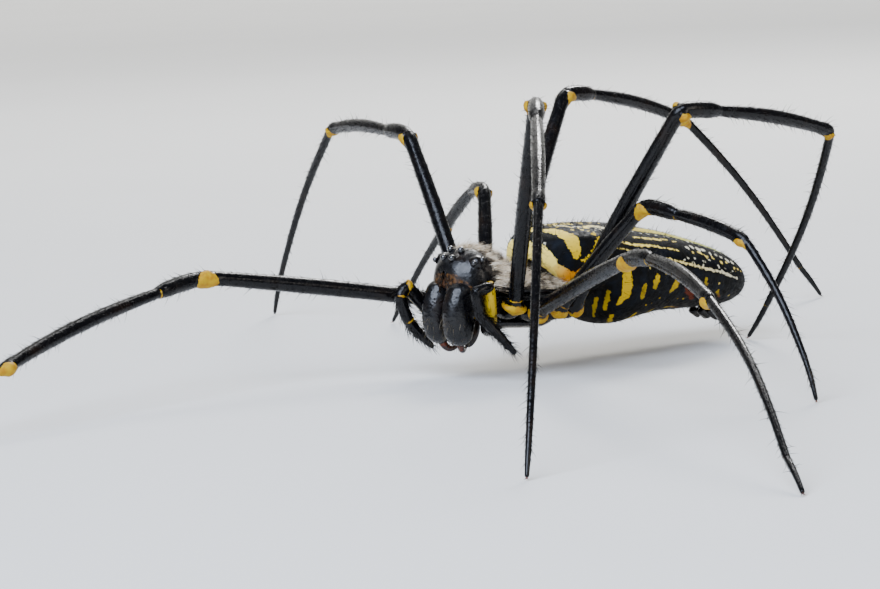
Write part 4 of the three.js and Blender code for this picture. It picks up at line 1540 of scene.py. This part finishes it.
@dataclass
class Jaws:
    """Chelicerae, fangs, and the mouthparts behind them."""

    top: Triple = (7.6, 1.62, 1.3)
    foot: Triple = (7.9, 1.5, -5.1)
    # half depths and half widths at the top, the middle and the foot
    depth: Triple = (1.25, 1.75, 1.15)
    width: Triple = (1.2, 1.45, 1.05)
    bow: float = 0.05                   # how far the middle stands forward, as a share of the length
    sides: int = 48
    fang_root: Triple = (7.8, 1.45, -4.5)
    fang_tip: Triple = (5.9, 0.45, -4.9)
    fang_radius: float = 0.42
    fang_drop: float = 0.85             # how far its curve hangs below root and tip
    fang_flat: float = 0.85             # width against depth
    coat: Coat = Coat(7.0, 0.35, 0.9, 0.024, rise=0.5, curl=0.25, scatter=0.35, seed=31)

    def build(self) -> None:
        """Builds both sides, and the mouthparts."""
        for side in Side:
            self.shell(side)
            self.fang(side)
        self.mouthparts()

    def shell(self, side: Side) -> None:
        """Builds a jaw, rounded off at both ends, with its bristles towards the foot and the front.

        Args:
            side: Its side.
        """
        start, end = side.of(self.top), side.of(self.foot)
        length = np.linalg.norm(end - start)
        travel = (end - start) / length
        share = (1 - np.cos(np.linspace(0.03, np.pi - 0.03, 70))) / 2
        near, far = self.depth[0] * 0.8 / length, self.depth[2] * 0.9 / length
        dome = np.minimum(np.clip(share / near, 0, 1), np.clip((1 - share) / far, 0, 1))
        dome = np.sqrt(np.clip(1 - (1 - dome) ** 2, 0, 1))
        line = start + travel * (share * length)[:, None]
        line = line + FORWARD * (self.bow * length * np.sin(np.pi * share))[:, None]
        depth, width = (through(size, share) * dome for size in (self.depth, self.width))
        rings = ring(line, travel, FORWARD, depth, width, self.sides)
        front = np.clip(np.cos(around(self.sides)), 0, 1)
        coat = smoothstep(0.3, 0.75, share)[:, None] * (0.35 + 0.65 * front[None])
        piece = skin(f"chelicera_{side.word}_shell", BODY.place(rings), {
            "coat": coat, "lay": np.broadcast_to(BODY.turn(travel), rings.shape)})
        finished(piece, JAW, [f"chelicera_{side.word}"])
        self.coat.grow(f"chelicera_{side.word}_bristles", piece, JAW_HAIR, "cuticle")

    def fang(self, side: Side) -> None:
        """Builds a fang, curved inwards and back.

        Args:
            side: Its side.
        """
        root, tip = side.of(self.fang_root), side.of(self.fang_tip)
        t = np.linspace(0, 1, 26)
        line = root + (tip - root) * t[:, None] - np.outer(self.fang_drop * np.sin(np.pi * t ** 0.8), UP)
        size = self.fang_radius * (1 - 0.9 * t ** 1.4) * np.clip(np.sqrt(t * 12 + 0.05), 0, 1)
        rings = ring(line, unit(np.gradient(line, axis=0)), UP, size, size * self.fang_flat, 20)
        finished(skin(f"fang_{side.word}_horn", BODY.place(rings)), HORN, [f"fang_{side.word}"])

    def mouthparts(self) -> None:
        """Builds the soft face below the eyes, the lip and the two lobes beside it."""
        face = self.lobe("face_membrane", (7.55, 0.0, 1.15), (0.3, 0.0, 1.0), (1.3, 2.4, 0.85))
        finished(face, MEMBRANE)
        lobes = [self.lobe("mouth_lobes", side.of((5.9, 0.95, -3.9)), side.of((0.5, 0.12, -1.0)),
                           (0.75, 0.62, 1.5)) for side in Side]
        lobes.append(self.lobe("lip", (5.4, 0.0, -3.6), (0.5, 0.0, -1.0), (0.5, 0.7, 1.0)))
        finished(merged("mouth_lobes", lobes), MOUTH)

    def lobe(self, name: str, centre: Sequence[float], axis: Sequence[float], half: Sequence[float],
             count: int = 30, sides: int = 36) -> Object:
        """An egg-shaped lobe.

        Args:
            name: Name of the piece.
            centre: Its middle in the body's frame.
            axis: Direction from end to end.
            half: Half sizes forward, sideways and from end to end.
            count: Rings.
            sides: Points in each ring.

        Returns:
            The lobe.
        """
        turn = np.linspace(0, np.pi, count + 2)[1:-1]
        way = unit(np.array(axis, float))
        line = np.array(centre) - way * half[2] * np.cos(turn)[:, None]
        rings = ring(line, way, FORWARD, half[0] * np.sin(turn), half[1] * np.sin(turn), sides)
        return skin(name, BODY.place(rings))


@dataclass
class Palps:
    """The two palps beside the jaws, yellow on the femur's outer face."""

    joints: dict[Side, tuple[Triple, ...]] = field(default_factory=lambda: {
        Side.LEFT: ((5.0, 2.0, -3.5), (6.1, 4.1, -3.1), (7.1, 4.7, 0.8), (8.6, 4.6, 0.35), (8.0, 4.6, -1.9),
                    (4.7, 6.3, -5.5)),
        Side.RIGHT: ((5.0, -2.0, -3.5), (6.4, -4.0, -2.8), (9.6, -4.8, 0.3), (10.45, -4.8, -0.7),
                     (9.4, -4.6, -3.1), (6.6, -4.0, -5.7))})
    # coxa with trochanter, femur, patella, tibia and tarsus
    articles: tuple[Article, ...] = (
        Article((0.75, 0.68, 0.62), hairy=0.3),
        Article((0.62, 0.7, 0.66), 0.02, (0.3, 0.2), 0.3, paint=1.0),
        Article((0.6, 0.62, 0.58), 0.04, (0.1, 0.1), 0.8),
        Article((0.58, 0.6, 0.56), 0.02, (0.12, 0.12), 1.0),
        Article((0.56, 0.5, 0.24), 0.04, hairy=1.3),
    )
    coat: Coat = Coat(14.0, 0.5, 1.2, 0.028, rise=0.45, curl=0.2, scatter=0.22, seed=61)

    def build(self) -> None:
        """Builds skins and bristles."""
        for side, places in self.joints.items():
            outward = unit(BODY.turn([0.6, side.value, 0.3]))
            backs = np.repeat(outward[None], len(self.articles), 0)
            palp = Limb(f"palp_{side.word}_skin", BODY.place(places), backs, self.articles, sides=24,
                        round_over=0.4).skin()
            finished(palp, LIMB, [f"palp_{side.word}"])
            self.coat.grow(f"palp_{side.word}_bristles", palp, BRISTLE, "palp_skin")


@dataclass
class Underside:
    """Sternum, waist and spinnerets."""

    # each section's place and half width
    sternum: tuple[tuple[float, float], ...] = (
        (-4.9, 0.0), (-4.6, 0.6), (-3.6, 1.6), (-1.6, 2.5), (1.0, 2.75), (3.0, 2.3), (3.7, 1.3), (5.3, 1.0),
        (5.8, 0.6), (6.05, 0.0))
    plate_top: float = -2.2
    plate_depth: float = 1.3
    waist: tuple[float, float, float, float] = (-6.2, -8.2, -0.1, 0.7)  # both ends' places, level and radius
    spinner: Triple = (-24.8, 0.0, -1.85)           # between the cones' roots
    spinner_way: Triple = (-0.82, 0.12, -0.57)
    # each cone's place before that, distance from the middle, length and radius
    cones: tuple[tuple[float, float, float, float], ...] = (
        (0.6, 0.6, 1.6, 0.5), (-0.3, 0.62, 1.9, 0.5), (0.06, 0.25, 1.1, 0.3), (-0.72, 0.0, 0.9, 0.55))

    def build(self) -> None:
        """Builds the three."""
        x, half = spline(self.sternum, 90).T
        half = np.maximum(half, 0.02)
        drop = self.plate_depth * np.minimum(1, 0.1 + half / 2.6)
        middle = np.stack([x, 0 * x, self.plate_top - drop / 2], 1)
        plate = ring(middle, BACKWARD, UP, drop / 2, half, 40)
        finished(skin("sternum_plate", BODY.place(plate)), CUTICLE, ["sternum"])
        start, end, level, radius = self.waist
        t = np.linspace(0, 1, 40)
        middle = np.stack([start + (end - start) * t, 0 * t, level + 0 * t], 1)
        size = radius * (1 + 0.06 * np.sin(t * 40)) * np.sqrt(np.clip(np.minimum(t, 1 - t) * 12, 0.02, 1))
        waist = ring(middle, BACKWARD, UP, size, size, 28)
        finished(skin("waist", BODY.place(waist)), CUTICLE, ["pedicel"])
        cones = [self.cone(side, *cone) for cone in self.cones for side in (Side if cone[1] else [Side.LEFT])]
        finished(merged("spinneret_cones", cones), CUTICLE, ["spinnerets"])

    def cone(self, side: Side, before: float, across: float, length: float, radius: float) -> Object:
        """A spinneret's cone, rounded off at both ends.

        Args:
            side: Its side.
            before: Place before the spinnerets' middle.
            across: Distance from the middle.
            length: Length.
            radius: Radius at the root.

        Returns:
            The cone.
        """
        t = np.linspace(0, 1, 20)
        way = unit(side.of(self.spinner_way))
        line = np.array(self.spinner) + side.of((before, across, 0)) + way * (length * t)[:, None]
        size = radius * (1 - 0.55 * t) * np.sqrt(np.clip(np.minimum(t * 8, (1 - t) * 6), 0.02, 1))
        return skin("cone", BODY.place(ring(line, way, UP, size, size, 20)))


@dataclass(frozen=True)
class Lamp:
    """A soft square light: place, aim and side in metres, power in watts, and hex colour."""

    name: str
    at: Triple
    aim: Triple
    size: float
    power: float
    colour: str = "#ffffff"

    def build(self) -> None:
        """Builds it."""
        data = bpy.data.lights.new(self.name, "AREA")
        data.size, data.energy, data.color = self.size, self.power, to_linear(self.colour)[:3]
        lamp = placed(self.name, data)
        lamp.location = self.at
        lamp.rotation_euler = (Vector(self.aim) - Vector(self.at)).to_track_quat("-Z", "Y").to_euler()


@dataclass
class Studio:
    """Camera, floor and lights."""

    eye: Triple = (8.44, -324.8, 49.0)
    right: Triple = (0.99897, -0.00553, -0.04503)
    up: Triple = (0.04536, 0.12174, 0.99153)
    focal: float = 141.4                # lens over the sensor's width
    sensor: float = 36.0
    sky: tuple[str, float] = ("#dfe3e8", 0.22)              # colour and strength
    lamps: tuple[Lamp, ...] = (
        Lamp("key", (-0.2, -0.36, 0.4), (0.0, 0.0, 0.01), 0.48, 9.5, "#dce8ff"),
        Lamp("fill", (0.42, -0.3, 0.22), (0.0, 0.0, 0.01), 0.3, 1.0, "#fff6ea"),
        Lamp("rim", (0.12, 0.42, 0.34), (0.0, 0.0, 0.015), 0.16, 2.2),
        Lamp("backdrop", (0.0, 1.0, 1.6), (0.0, 2.2, 0.6), 1.6, 60.0))

    def build(self) -> None:
        """Builds all of it."""
        data = bpy.data.cameras.new("camera")
        data.sensor_width, data.lens = self.sensor, self.focal
        data.clip_start, data.clip_end = 0.01, 20.0
        camera = placed("camera", data)
        right, up = Vector(self.right).normalized(), Vector(self.up).normalized()
        turn = Matrix((right, up, right.cross(up))).transposed().to_4x4()
        camera.matrix_world = Matrix.Translation(Vector(self.eye) * MM) @ turn
        bpy.context.scene.camera = camera
        self.board()
        world = bpy.data.worlds.new("studio")
        world.use_nodes = True
        light = world.node_tree.nodes["Background"].inputs
        light["Color"].default_value, light["Strength"].default_value = to_linear(self.sky[0]), self.sky[1]
        bpy.context.scene.world = world
        for lamp in self.lamps:
            lamp.build()

    def board(self, half: float = 4.0, bend: float = 1.2, start: float = 1.4) -> None:
        """Builds the floor, which turns up behind the model.

        Args:
            half: Half width in metres, and the height it reaches.
            bend: Radius of the turn.
            start: Where it begins, behind the model.
        """
        turn = np.linspace(0, np.pi / 2, 24)
        run = np.concatenate([[-half], start + bend * np.sin(turn), [start + bend]])
        rise = np.concatenate([[0.0], bend * (1 - np.cos(turn)), [half]])
        mesh = bpy.data.meshes.new("floor")
        mesh.from_pydata([(x, y, z) for y, z in zip(run, rise) for x in (-half, half)], [],
                         [(2 * i, 2 * i + 1, 2 * i + 3, 2 * i + 2) for i in range(len(run) - 1)])
        mesh.materials.append(PAPER.material())
        mesh.shade_smooth()
        board = placed("floor", mesh)
        board.location.z = -0.1 * MM


def main() -> None:
    """Builds every sub-assembly in order."""
    logging.basicConfig(level=logging.INFO, format="%(name)s: %(message)s")
    for part in (Studio(), Legs(), Carapace(), Abdomen(), Jaws(), Eyes(), Palps(), Underside()):
        part.build()


if __name__ == "__main__":
    main()
